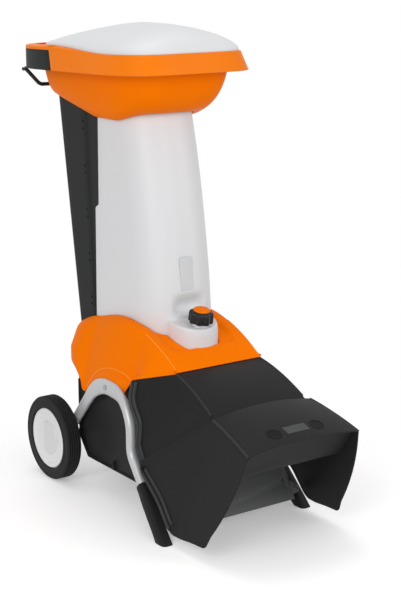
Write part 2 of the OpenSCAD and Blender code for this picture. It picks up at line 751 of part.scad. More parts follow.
paddle_h = 40;
paddle_l = 56;
paddle_t = 4;
edge_in = 6;
slot_l = 60;
slot_w = 16;
slot_y = 14;
bolt_d = 10;
module knife_disc() {
    color(steel) at_rotor(disc_z) difference() {
        union() {
            cylinder(d = disc_d, h = disc_t);
            for (k = [0:3]) rotate(90 * k + 45)
                translate([disc_d / 2 - paddle_l - edge_in, -paddle_t / 2, -paddle_h])
                cube([paddle_l, paddle_t, paddle_h + eps]);
        }
        translate([0, 0, -eps]) cylinder(d = bolt_d + 2 * fix_gap, h = disc_t + 1);
        for (k = [0:1]) rotate(180 * k)
            translate([disc_d / 2 - slot_l - 3 * edge_in, slot_y, -eps]) cube([slot_l, slot_w, disc_t + 1]);
    }
}

knife_t = 5;
knife_l = 72;
knife_w = 36;
knife_y = -24;
module knives() {
    color(silver) for (k = [0:1]) rotate_about_rotor(180 * k) at_rotor(disc_z + disc_t)
        translate([disc_d / 2 - knife_l - 2 * edge_in, knife_y, 0]) linear_extrude(knife_t)
        polygon([[0, 0], [knife_l, 0], [knife_l - edge_in, knife_w], [edge_in, knife_w]]);
}
module rotate_about_rotor(a) { at_rotor(0) rotate(a) at_rotor(0) translate([0, -2 * rotor_y, 0]) children(); }

module knife_bolt() {
    color(steel) at_rotor(disc_z - 28) union() {
        cylinder(d = bolt_d, h = 29 + disc_t);
        translate([0, 0, 28 + disc_t]) cylinder(d = 36, h = 4);
        translate([0, 0, 32 + disc_t - eps]) cylinder(d = 19.6, h = 9, $fn = 6);
    }
}

module counter_blade() {
    inset = 2 * fix_gap;
    color(silver) at_rotor(disc_z + disc_t + knife_t + 3) translate([-chamber_d / 2 + inset, 20, 0])
        difference() {
            intersection() {
                cube([70, 24, 8]);
                translate([chamber_d / 2 - inset, -20, 0]) cylinder(d = chamber_d - 2 * fix_gap, h = 8);
            }
            translate([24, 12, -1]) cylinder(d = 7, h = 10);
        }
}

// Shaft of the hopper: white front shell with the nose, dark sloped rear shell

step_z = 870;
step_h = 16;
seam_low_y = 283;
seam_high_y = 265;
front_line = [[484, -50], [603, -45], [721, -33], [880, -10], [1014, 15], [1172, 52]];
crease_low_y = 299;
crease_high_y = 340;
rear_low_y = 395;
rear_lean = 0.166;
strip_tuck = 12;
dent_z = 606;
dent_h = 46;
dent_depth = 20;

function shaft_w(z) = lerp(shaft_w_low, shaft_w_top, (z - shaft_low_z) / (shaft_top_z - shaft_low_z));
function seam_at(z) = lerp(seam_low_y, seam_high_y, ease((z - step_z + step_h / 2) / step_h));
function rear_y(z) = rear_low_y + rear_lean * (z - shaft_low_z);
function crease_y(z) = lerp(crease_low_y, crease_high_y, (z - 571) / 537);
function dent(x, z) = dent_depth * ease(1 - abs(z - dent_z) / dent_h) * ease(1 - pow(x / 64, 2));

// Front shell seen from above: left seam, round the front, right seam
function front_profile(z, gap) =
    let (w = shaft_w(z) + gap, f = lookup(z, front_line) - gap, s = seam_at(z), r = shaft_r + gap,
         arc_points = corner([-w, s], [-w, f], [w, f], r, 7),
         left = concat([[-w, s], [-w, lerp(s, f + r, 0.5)]], arc_points),
         inner = [for (k = [1:3]) [lerp(-w + r, 0, k / 3), f]])
    concat(left, inner, [for (k = [2:-1:1]) [lerp(w - r, 0, k / 3), f]],
        [for (i = [len(left) - 1:-1:0]) [-left[i][0], left[i][1]]]);
function front_row(z) =
    [for (p = front_profile(z, 0)) [p[0], p[1] + (abs(p[0]) < 64 ? dent(p[0], z) : 0), z]];
front_places = [shaft_low_z, 530, 562, 584, 606, 628, 652, 721, 800, 862, 878, 950, 1014, 1090, shaft_top_z];

// Nose of the front shell with the seat of the lock knob

knob_seat = [0, -95, 560];
nose_w = 74;
nose_l = 92;
nose_y = -36;
nose_wall = 5;
collar_d = 46;
collar_h = 8;
washer_t = 1.6;

module at_knob(h) { translate(knob_seat) rotate([knob_tilt, 0, 0]) translate([0, 0, h]) children(); }

module nose_outline(gap) {
    polygon(concat([[nose_w + gap, nose_y + 30], [-nose_w - gap, nose_y + 30]],
        [for (k = [0:24]) let (a = 180 + 180 * k / 24)
            [(nose_w + gap) * power(cos(a), 0.85), nose_y + (nose_l + gap) * power(sin(a), 0.85)]]));
}

module nose(gap, drop) {
    intersection() {
        translate([0, 0, shaft_low_z - (gap < 0 ? 1 : 0)]) linear_extrude(140) nose_outline(gap);
        at_knob(-200 - drop) translate([-200, -200, 0]) cube([400, 400, 200]);
    }
}

module shaft_front() {
    color(white) difference() {
        union() {
            shell([for (z = front_places) front_row(z)], shaft_wall);
            difference() {
                nose(0, 0);
                nose(-nose_wall, nose_wall);
                translate([0, 0, shaft_low_z - 1]) linear_extrude(200) polygon(
                    [for (p = front_profile(shaft_low_z + 60, -shaft_wall + 1)) [p[0], p[1]]]);
            }
            at_knob(-eps) cylinder(d = collar_d, h = collar_h);
        }
        at_knob(-60) cylinder(d = stud_d + 2 * run_gap, h = 100);
    }
}

function rear_half(z) =
    let (w = shaft_w(z), tucked = w - shaft_wall - fix_gap, s = seam_at(z) - strip_tuck, c = crease_y(z))
    concat([[-tucked, s], [-tucked, lerp(s, c, 0.5)], [-tucked, c - 5], [-w, c]],
        corner([-w, s], [-w, rear_y(z)], [w, rear_y(z)], rear_r, 4), [[-w / 3, rear_y(z)]]);
function rear_row(z) =
    let (h = rear_half(z), right = [for (p = h) [-p[0], p[1]]], left = [for (i = [len(h) - 1:-1:0]) h[i]])
    [for (p = concat(right, left)) [p[0], p[1], z]];
rear_places = [shaft_low_z, 600, 720, 862, 878, 1000, 1120, shaft_top_z + 32];

hinge_y = 424;
hinge_z = 508;
hinge_pin_d = 8;
ear_x = 36;
ear_w = 14;
knuckle_d = 20;

module hinge_ear() {
    across(ear_x, ear_x + ear_w) difference() {
        union() {
            translate([hinge_y, hinge_z]) circle(d = knuckle_d);
            polygon([[rear_y(hinge_z - 12) - 1, hinge_z - 12], [hinge_y, hinge_z - knuckle_d / 2],
                [hinge_y, hinge_z + knuckle_d / 2], [rear_y(hinge_z + 24) - 1, hinge_z + 24]]);
        }
        translate([hinge_y, hinge_z]) circle(d = hinge_pin_d + 2 * pin_gap);
    }
}

seam_screw_pitch = 134;
seam_screw_first = 571;
seam_screw_gap = 22;
module at_seam_screws() {
    for (i = [0:4], k = [-1, 1]) {
        z = seam_screw_first + seam_screw_pitch * i + k * seam_screw_gap / 2;
        translate([-shaft_w(z), crease_y(z) + 12, z]) rotate([0, 90, 0]) children();
    }
}

module shaft_rear() {
    color(dark_grey) difference() {
        union() {
            shell([for (z = rear_places) rear_row(z)], shaft_wall);
            mirrored() hinge_ear();
        }
        mirrored() at_seam_screws() translate([0, 0, -2])
            cylinder(d = seam_screw_d + 2 * fix_gap, h = 4, $fn = 16);
    }
}

module seam_screws() {
    color(black) mirrored() at_seam_screws() difference() {
        translate([0, 0, -0.5]) cylinder(d = seam_screw_d, h = 2.4, $fn = 16);
        translate([0, 0, -1]) cylinder(d = seam_screw_d / 2, h = 1.5, $fn = 6);
    }
}

plate_w = 44;
plate_h = 98;
plate_t = 1.2;
plate_z = 703;
plate_x = -7;
module front_plate() {
    y = lookup(plate_z, front_line);
    lean = atan2(lookup(721, front_line) - lookup(603, front_line), 118);
    color(silver) translate([0, y - fix_gap - 0.2, plate_z]) rotate([-lean, 0, 0])
        translate([plate_x - plate_w / 2, -plate_t, -plate_h / 2]) cube([plate_w, plate_t, plate_h]);
}

throat_d = 200;
throat_cut = 22;
module throat_plate() {
    side = shaft_w_low - 2 * shaft_wall - 1;
    seam = seam_low_y - 2 * strip_tuck - 1;
    rear = rear_low_y - shaft_wall - fix_gap;
    color(black) translate([0, 0, shaft_low_z]) linear_extrude(4) difference() {
        polygon(concat([for (p = front_profile(shaft_low_z, -shaft_wall - 1.4)) [p[0], min(p[1], seam - 3)]],
            [[side, seam], [side, rear - throat_cut], [side - throat_cut, rear]],
            [[-side + throat_cut, rear], [-side, rear - throat_cut], [-side, seam]]));
        translate([0, rotor_y]) circle(d = throat_d);
    }
}

// Hopper bowl, rim, guard and hood: loops seen from above with square-ish corners

rim_p = 5;
rim_mid_y = 250;
rim_flare = 18;
bowl_inset = 47;
bowl_mid_y = 270;
bowl_depth = 199;
bowl_low_z = rim_z - bowl_depth;
bowl_rise = 25;
bowl_rear_rise = 54;
bowl_seat = 3.4;
bowl_low_w = shaft_w(bowl_low_z) + bowl_seat;
bowl_front_y = lookup(bowl_low_z + bowl_rise, front_line) - bowl_seat;
bowl_rear_y = rear_y(bowl_low_z + bowl_rear_rise) + bowl_seat;
rim_lean = 0.028;

// Point of a loop at an angle: 0 right, 90 rear, 180 left, 270 front
function loop_point(a, w, front, rear, mid, p) =
    let (c = power(cos(a), 2 / p), s = power(sin(a), 2 / p), reach = s > 0 ? rear - mid : mid - front)
    [w * c, mid + reach * s];
function rim_point(a, inset) =
    loop_point(a, rim_w - inset, rim_front_y + inset, rim_rear_y - inset * 0.5, rim_mid_y, rim_p);
function skirt_h(y) = lerp(skirt_front_h, skirt_rear_h, ease((y - 60) / 320));
function rim_low_z(y) = rim_z - skirt_front_h - rim_lean * (y - rim_front_y);
function rim_top_z(y) = rim_low_z(y) + skirt_h(y);

// Point of the bowl's lower edge in a direction: a box with round corners that fits the shaft
function box_point(v) =
    let (front = bowl_mid_y - bowl_front_y, rear = bowl_rear_y - bowl_mid_y,
         k = min(bowl_low_w / max(0.001, abs(v[0])), (v[1] > 0 ? rear : front) / max(0.001, abs(v[1]))),
         r = (v[1] > 0 ? rear_r : shaft_r) + bowl_seat, p = v * k,
         d = [abs(p[0]) - bowl_low_w + r, abs(p[1]) - (v[1] > 0 ? rear : front) + r],
         out = [abs(p[0]), abs(p[1])] - d + r * d / norm(d),
         q = d[0] > 0 && d[1] > 0 ? [sign(v[0]) * out[0], sign(v[1]) * out[1]] : p)
    [q[0], bowl_mid_y + q[1]];

// Angles that spread the points evenly along the straight sides and round the corners
side_parts = [0.1, 0.25, 0.4, 0.55, 0.7];
quarter = concat([for (t = side_parts) asin(pow(t, rim_p / 2))], [33, 41, 49, 57],
    [for (i = [len(side_parts) - 1:-1:0]) acos(pow(side_parts[i], rim_p / 2))]);
function backward(list) = [for (i = [len(list) - 1:-1:0]) list[i]];
bowl_angles = concat(quarter, [for (a = backward(quarter)) 180 - a], [for (a = quarter) 180 + a],
    [for (a = backward(quarter)) 360 - a]);
bowl_rows = 7;
function bowl_point(a, s) =
    let (rear_inset = bowl_inset * 0.8,
         high = loop_point(a, rim_w - bowl_inset, rim_front_y + bowl_inset, rim_rear_y - rear_inset,
             rim_mid_y, rim_p),
         reach = high[1] > rim_mid_y ? (bowl_rear_y - bowl_mid_y) / (rim_rear_y - rim_mid_y - rear_inset)
             : (bowl_mid_y - bowl_front_y) / (rim_mid_y - rim_front_y - bowl_inset),
         low = box_point([high[0] * bowl_low_w / (rim_w - bowl_inset), (high[1] - rim_mid_y) * reach]),
         front_rise = bowl_rise * ease((160 - low[1]) / 115),
         low_z = bowl_low_z + front_rise + bowl_rear_rise * max(0, (low[1] - 265) / 245),
         p = lerp(low, high, sin(90 * s)))
    [p[0], p[1], lerp(low_z, rim_top_z(high[1]) - bowl_wall - fix_gap, 1 - cos(90 * s))];
function flange_point(a) =
    let (p = rim_point(a, rim_flare + bowl_wall + 2)) [p[0], p[1], rim_top_z(p[1]) - bowl_wall - fix_gap];

module hopper_bowl() {
    color(orange) shell(concat(
        [for (k = [0:bowl_rows]) [for (a = bowl_angles) bowl_point(a, k / bowl_rows)]],
        [[for (a = bowl_angles) flange_point(a)]]), bowl_wall, ring = true);
}

// Strip of the rim between two angles: rounded top edge, then down the skirt
function rim_strip(angles, step) = [
    for (k = [0:3]) [for (a = angles)
        let (flare = rim_flare * (1 - ease((rim_point(a, 0)[1] - 150) / 300)),
             p = rim_point(a, step + flare * k / 3))
        [p[0], p[1], lerp(rim_low_z(p[1]), rim_top_z(p[1]), k / 3)]],
    for (inset = [5, 14]) [for (a = angles)
        let (p = rim_point(a, rim_flare + step + inset))
        [p[0], p[1], rim_top_z(p[1]) + bowl_wall + fix_gap]]];
guard_angle = asin(pow((guard_y - rim_mid_y) / (rim_rear_y - rim_mid_y), rim_p / 2));
function angles_between(a, b) =
    let (two_turns = concat(bowl_angles, [for (q = bowl_angles) q + 360]))
    concat([a], [for (t = two_turns) if (t > a + 0.5 && t < b - 0.5) t], [b]);
skirt_angles = angles_between(180 - guard_angle, 360 + guard_angle);
guard_angles = angles_between(guard_angle + 0.1, 180 - guard_angle - 0.1);

module rim_skirt() { color(orange) shell(rim_strip(skirt_angles, 0), bowl_wall); }
module rear_guard() { color(dark_grey) shell(rim_strip(guard_angles, 0), bowl_wall); }

// Bar handle under the rear guard

handle_drop = 54;
handle_in = 52;
module bar_handle() {
    y = rim_rear_y - 26;
    z = rim_low_z(y) - 1;
    x = rim_w - 34;
    run = norm([handle_in, handle_drop]);
    color(black) union() {
        mirrored() translate([-x, y, z]) rotate([0, atan2(handle_in, -handle_drop), 0])
            cylinder(d = handle_d, h = run);
        mirrored() translate([-x + handle_in, y, z - handle_drop]) sphere(d = handle_d + 1.2, $fn = 24);
        along_x(-x + handle_in, x - handle_in, y, z - handle_drop) circle(d = handle_d);
        mirrored() translate([-x, y, z - 8]) cylinder(d = handle_d + 6, h = 8 + 1 - 2 * fix_gap);
    }
}

// White hood over the bowl, open at the rear

dome_inset = 6;
dome_front_y = rim_front_y + rim_flare + dome_inset;
dome_lean = 24;
dome_lip = 4;
dome_peak_y = 164;
dome_drop = 0.548;
dome_front_p = 3.33;
dome_side_p = 1.49;
dome_round = 0.522;
dome_places = concat([mouth_y, 370, 320, 260, 190, 110, 40, -10],
    [for (d = [36, 18, 7, 1.5]) dome_front_y + d]);
function rim_half_w(y, inset) =
    let (front = rim_front_y + inset, t = y > rim_mid_y ? (y - rim_mid_y) / (rim_rear_y - rim_mid_y)
        : (rim_mid_y - y) / (rim_mid_y - front))
    (rim_w - inset) * pow(1 - pow(min(0.999, t), rim_p), 1 / rim_p);
function dome_rise(y) = y > dome_peak_y
    ? 1 - dome_drop * pow((y - dome_peak_y) / (mouth_y - dome_peak_y), 2)
    : pow(1 - pow((dome_peak_y - y) / (dome_peak_y - dome_front_y), dome_front_p), dome_round);
function dome_row(y) =
    let (w = rim_half_w(y, rim_flare + dome_inset), edge = rim_top_z(y) + bowl_wall + fix_gap + 0.4,
         rise = max(dome_lip + 3, (dome_top_z - edge) * dome_rise(y)))
    concat([[w, y, edge]],
        [for (k = [0:24])
            let (c = cos(180 * k / 24), s = pow(max(0, 1 - pow(abs(c), dome_side_p)), dome_round))
            [w * c, y - (y == mouth_y ? dome_lean * s : 0), edge + lerp(dome_lip, rise, s)]],
        [[-w, y, edge]]);

module hopper_hood() { color(white) shell([for (y = dome_places) dome_row(y)], bowl_wall, capped = true); }

// Rubber curtain in the feed mouth: three strips on one rod

rod_d = 8;
rod_y = 362;
rod_z = rim_top_z(rod_y) - 16;
rod_x = rim_half_w(rod_y, bowl_inset) - bowl_wall - 0.8;
pad_t = 5;
strip_w = 92;
strip_gap = 5;
strip_h = 96;
strip_t = 3;

module curtain_rod() {
    color(steel) union() {
        along_x(-rod_x, rod_x, rod_y, rod_z) circle(d = rod_d);
        mirrored() along_x(-rod_x, -rod_x + pad_t, rod_y, rod_z) circle(d = 2.5 * rod_d);
    }
}

module curtain_strip(k) {
    x = k * (strip_w + strip_gap);
    color(rubber) difference() {
        union() {
            along_x(x - strip_w / 2, x + strip_w / 2, rod_y, rod_z) circle(d = rod_d + 6);
            translate([x - strip_w / 2, rod_y - strip_t / 2, rod_z - strip_h])
                cube([strip_w, strip_t, strip_h]);
        }
        along_x(x - strip_w, x + strip_w, rod_y, rod_z) circle(d = rod_d + 2 * pin_gap);
    }
}
module curtain_left() { curtain_strip(-1); }
module curtain_middle() { curtain_strip(0); }
module curtain_right() { curtain_strip(1); }

// Lock knob, its cap, stud and washer, and the bracket that takes the stud

lobes = 8;
stud_reach = 88;
stud_grip = 8;
stud_play = 1.6;
knob_low = collar_h + washer_t + 2 * run_gap;
module lock_knob() {
    lobe_d = knob_d * 0.26;
    color(black) at_knob(knob_low) difference() {
        union() {
            cylinder(d = knob_d - lobe_d * 0.7, h = knob_h - 4);
            for (k = [0:lobes - 1]) rotate(360 * k / lobes) translate([knob_d / 2 - lobe_d / 2, 0, 0])
                cylinder(d = lobe_d, h = knob_h - 6);
            translate([0, 0, knob_h - 4 - eps]) cylinder(d = knob_cap_d + 10, h = 4);
        }
        translate([0, 0, knob_h - 5]) cylinder(d = knob_cap_d + 2 * fix_gap, h = 10);
        translate([0, 0, -eps]) cylinder(d = stud_d, h = knob_h - 10);
    }
}
module knob_cap() { color(orange) at_knob(knob_low + knob_h - 5) cylinder(d = knob_cap_d, h = 6.5); }
module lock_stud() {
    color(steel) at_knob(-stud_reach) cylinder(d = stud_d, h = stud_reach + knob_low + knob_h - 10);
}
module lock_washer() {
    color(steel) at_knob(collar_h + run_gap) ring(collar_d - 6, stud_d + 2 * pin_gap, washer_t);
}

bracket_t = 6;
bracket_half = 30;
bracket_z = floor_z + floor_t + chamber_h;
module lock_bracket() {
    boss_h = 16;
    color(steel) difference() {
        union() {
            translate([-bracket_half, knob_seat[1] - 8, bracket_z])
                cube([2 * bracket_half, rotor_y - chamber_d / 2 - knob_seat[1] + 16, bracket_t]);
            at_knob(-stud_reach + stud_grip - boss_h) cylinder(d = stud_d + 14, h = boss_h);
        }
        at_knob(-stud_reach - 20) cylinder(d = stud_d + 2 * stud_play, h = 60);
    }
}

// Hinge of the hopper at the rear of the hood

bracket_x = ear_x + ear_w + run_gap;
bracket_w = 18;
strap_l = 88;
strap_t = 4.8;
module hinge_brackets() {
    color(steel) mirrored() across(bracket_x, bracket_x + bracket_w) difference() {
        union() {
            translate([hinge_y, hinge_z]) circle(d = knuckle_d);
            translate([hood_rear_y + fix_gap, hinge_z - strap_l]) square([strap_t, strap_l]);
        }
        translate([hinge_y, hinge_z]) circle(d = hinge_pin_d);
    }
}
module hinge_pins() {
    color(steel) mirrored() along_x(ear_x - 3, bracket_x + bracket_w + 2, hinge_y, hinge_z)
        circle(d = hinge_pin_d);
}

// Switch box with two buttons and the mains inlet on the hood's rear face

switch_t = 18;
button_d = 24;
button_x = 26;
button_z = switch_z + 8;
travel = 4;
inlet_z = switch_z - 16;
module switch_box() {
    color(black) difference() {
        union() {
            translate([-switch_w / 2, hood_rear_y + fix_gap, switch_z - switch_h / 2])
                cube([switch_w, switch_t, switch_h]);
            translate([-switch_w / 2 + 9, hood_rear_y - 22, switch_z - switch_h / 2 + 9])
                cube([switch_w - 18, 23, switch_h - 18]);
        }
        for (x = [-button_x, button_x]) translate([x, hood_rear_y - 6, button_z]) rotate([-90, 0, 0])
            cylinder(d = button_d + 2 * run_gap, h = 40);
        translate([-16, hood_rear_y + 2, inlet_z - 8]) cube([32, 40, 14]);
    }
}
module button(x) {
    translate([x, hood_rear_y - 1, button_z]) rotate([-90, 0, 0]) cylinder(d = button_d, h = switch_t + 6);
}
module start_button() { color("green") button(-button_x); }
module stop_button() { color("red") button(button_x); }
module inlet_pins() {
    color(silver) for (x = [-9, 0, 9]) translate([x, hood_rear_y + 2, inlet_z - 1]) rotate([-90, 0, 0])
        cylinder(d = 4, h = 13);
}

frame_left();
frame_right();
foot_left();
foot_right();
frame_screws();
axle();
axle_spacers();
push_nuts();
wheel_rim_left();
wheel_rim_right();
tyre_left();
tyre_right();
hub_cap_left();
hub_cap_right();
motor_hood();
base_pan();
discharge_chute();
front_ramp();
discharge_flap();
flap_baffle();
flap_pins();
cutting_chamber();
motor_shell();
motor_shield_top();
motor_shield_bottom();
stator();
rotor_core();
rotor_shaft();
bearings();
cooling_fan();
knife_disc();
knives();
knife_bolt();
counter_blade();
lock_bracket();
hinge_brackets();
hinge_pins();
switch_box();
start_button();
stop_button();
inlet_pins();
shaft_front();
shaft_rear();
seam_screws();
front_plate();
throat_plate();
hopper_bowl();
rim_skirt();
rear_guard();
bar_handle();
hopper_hood();
curtain_rod();
curtain_left();
curtain_middle();
curtain_right();
lock_washer();
lock_knob();
knob_cap();
lock_stud();
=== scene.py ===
"""Garden shredder on wheels: fine pieces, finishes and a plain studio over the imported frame."""

import logging
from dataclasses import dataclass
from enum import Enum
from functools import lru_cache
from math import acos, asin, atan2, ceil, copysign, cos, degrees, hypot, pi, radians, sin, sqrt, tan
from typing import Callable, Iterable, Optional, Sequence, TypeVar, Union

import bmesh
import bpy
import numpy as np
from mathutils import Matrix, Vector


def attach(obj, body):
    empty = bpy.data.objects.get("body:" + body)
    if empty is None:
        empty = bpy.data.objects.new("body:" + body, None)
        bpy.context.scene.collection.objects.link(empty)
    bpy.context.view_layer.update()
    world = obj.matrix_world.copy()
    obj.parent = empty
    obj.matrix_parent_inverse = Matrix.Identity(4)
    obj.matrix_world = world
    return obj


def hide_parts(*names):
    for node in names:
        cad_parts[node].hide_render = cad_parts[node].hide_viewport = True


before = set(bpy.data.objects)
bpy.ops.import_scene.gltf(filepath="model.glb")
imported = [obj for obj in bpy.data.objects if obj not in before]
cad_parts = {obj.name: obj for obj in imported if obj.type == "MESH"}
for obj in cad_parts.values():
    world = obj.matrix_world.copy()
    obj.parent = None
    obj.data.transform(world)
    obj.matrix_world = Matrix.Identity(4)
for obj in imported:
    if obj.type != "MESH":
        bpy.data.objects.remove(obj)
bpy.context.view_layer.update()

MM = 0.001
log = logging.getLogger("shredder")

Point = np.ndarray
Thing = bpy.types.Object
Outline = list[tuple[float, float]]
Blend = TypeVar("Blend", float, Point)
Row = list[Point]
Grid = list[Row]
Profile = Sequence[tuple[float, float]]


# Maths that the pieces share


def vec(*numbers: float) -> Point:
    """Returns the numbers as one vector."""
    return np.array(numbers, dtype=float)


def lerp(a: Blend, b: Blend, t: float) -> Blend:
    """Returns the value a share t of the way from a to b."""
    return a + (b - a) * t


def ease(t: float) -> float:
    """Returns a soft step from 0 to 1."""
    c = min(1.0, max(0.0, t))
    return c * c * (3 - 2 * c)


def power(value: float, exponent: float) -> float:
    """Returns a power that keeps the value's sign."""
    return copysign(abs(value) ** exponent, value)


def unit(v: Point) -> Point:
    """Returns the vector at length 1."""
    return v / np.linalg.norm(v)


def spread(start: float, end: float, count: int) -> list[float]:
    """Returns evenly spaced numbers, both ends included."""
    return [float(v) for v in np.linspace(start, end, count)]


def turns(count: int) -> list[float]:
    """Returns the angles of evenly spaced points round a circle."""
    return [2 * pi * k / count for k in range(count)]


def squared(exponent: float, count: int) -> Outline:
    """Returns points of a circle of radius 1 that is drawn out towards a square."""
    return [(power(cos(a), exponent), power(sin(a), exponent)) for a in turns(count)]


def corner(p: Point, q: Point, s: Point, radius: float, steps: int) -> Row:
    """Rounds the corner at q on the way from p to s.

    Args:
        p: Point before the corner.
        q: The corner.
        s: Point after the corner.
        radius: Radius of the arc.
        steps: Number of stretches in the arc.

    Returns:
        The points of the arc.
    """
    u, v = unit(p - q), unit(s - q)
    half = acos(float(np.clip(u @ v, -1, 1))) / 2
    turn = pi - 2 * half
    centre = q + unit(u + v) * radius / sin(half)
    a = q + u * radius / tan(half) - centre
    b = q + v * radius / tan(half) - centre
    arc = [turn * i / steps for i in range(steps + 1)]
    return [centre + (a * sin(turn - t) + b * sin(t)) / sin(turn) for t in arc]


def curve(a: Point, b: Point, c: Point, steps: int) -> Row:
    """Returns points of the curve that leaves a towards b and arrives at c."""
    share = [i / steps for i in range(steps + 1)]
    return [a * (1 - t) ** 2 + b * 2 * t * (1 - t) + c * t * t for t in share]


def spline(points: Sequence[Point], place: float) -> Point:
    """Returns a smooth curve's point; whole numbers of place fall on the given points.

    Args:
        points: Points that the curve goes through.
        place: Place along it.

    Returns:
        The point there.
    """
    i = min(len(points) - 2, max(0, int(place)))
    t = place - i
    p1, p2 = points[i], points[i + 1]
    p0 = points[i - 1] if i > 0 else 2 * p1 - p2
    p3 = points[i + 2] if i + 2 < len(points) else 2 * p2 - p1
    return 0.5 * (2 * p1 + (p2 - p0) * t + (2 * p0 - 5 * p1 + 4 * p2 - p3) * t * t
                  + (3 * p1 - p0 - 3 * p2 + p3) * t ** 3)


def looked_up(table: Profile, key: float) -> float:
    """Returns a smooth table's value.

    Args:
        table: Keys, which rise, and their values.
        key: The key that is looked up.

    Returns:
        The value there.
    """
    keys = [k for k, _ in table]
    i = max([n for n in range(len(keys) - 1) if keys[n] <= key] or [0])
    return float(spline([vec(v) for _, v in table], i + (key - keys[i]) / (keys[i + 1] - keys[i]))[0])


def pairs(points: Iterable[Point]) -> Outline:
    """Returns flat points as pairs of numbers."""
    return [(float(a), float(b)) for a, b in points]


def flipped(p: Point) -> Point:
    """Returns the point on the machine's other side."""
    return p * vec(-1, 1, 1)


def resampled(path: Sequence[Point], step: float) -> Row:
    """Returns the path with extra points, so that none are further apart than step.

    Args:
        path: Points of the path.
        step: Greatest distance.

    Returns:
        The points.
    """
    out: Row = [path[0]]
    for a, b in zip(path, path[1:]):
        count = max(1, ceil(float(np.linalg.norm(b - a)) / step))
        out += [lerp(a, b, k / count) for k in range(1, count + 1)]
    return out


# Choices


class Side(Enum):
    """Side of the machine, as seen from its front."""

    LEFT = -1
    RIGHT = 1

    @property
    def label(self) -> str:
        """Returns the side's name as the pieces carry it."""
        return self.name.lower()


class Body(Enum):
    """Bodies of the frame that pieces ride on."""

    BASE = "base"
    WHEEL_LEFT = "wheel_left"
    WHEEL_RIGHT = "wheel_right"
    ROTOR = "rotor"
    HOPPER = "hopper"
    KNOB_SEAT = "knob_seat"
    KNOB = "knob"
    FLAP = "flap"
    START = "start"
    STOP = "stop"
    STRIP_LEFT = "strip_left"
    STRIP_MIDDLE = "strip_middle"
    STRIP_RIGHT = "strip_right"


# Node trees


class Tree:
    """A node tree with one method that makes any node."""

    def __init__(self, tree: bpy.types.NodeTree) -> None:
        """Keeps the tree that nodes are added to."""
        self.tree = tree

    def add(self, kind: str, inputs: Optional[dict] = None, **settings: object) -> bpy.types.Node:
        """Adds one node.

        Args:
            kind: The node's type.
            inputs: Values or links of its sockets, by name or number.
            settings: Its own settings, set first.

        Returns:
            The new node.
        """
        node = self.tree.nodes.new(kind)
        for key, value in settings.items():
            setattr(node, key, value)
        for key, value in (inputs or {}).items():
            source = value.socket if isinstance(value, Term) else value
            if isinstance(source, bpy.types.NodeSocket):
                self.tree.links.new(source, node.inputs[key])
            else:
                node.inputs[key].default_value = source
        return node


def math_operator(operation: str, swapped: bool = False) -> Callable[["Term", "Operand"], "Term"]:
    """Makes an operator of Term.

    Args:
        operation: The Math node's operation.
        swapped: Whether the other value comes first.

    Returns:
        The operator's method.
    """
    def method(self: "Term", other: "Operand") -> "Term":
        """Returns the operation's result."""
        a, b = (other, self) if swapped else (self, other)
        return self.tree.math(operation, a, b)
    return method


class Term:
    """One socket's value in a shader; the operators add Math nodes."""

    def __init__(self, tree: "ShaderTree", socket: bpy.types.NodeSocket) -> None:
        """Wraps a socket of the tree."""
        self.tree = tree
        self.socket = socket

    __add__ = math_operator("ADD")
    __radd__ = math_operator("ADD", swapped=True)
    __sub__ = math_operator("SUBTRACT")
    __rsub__ = math_operator("SUBTRACT", swapped=True)
    __mul__ = math_operator("MULTIPLY")
    __pow__ = math_operator("POWER")
    __gt__ = math_operator("GREATER_THAN")


Operand = Union[Term, float]


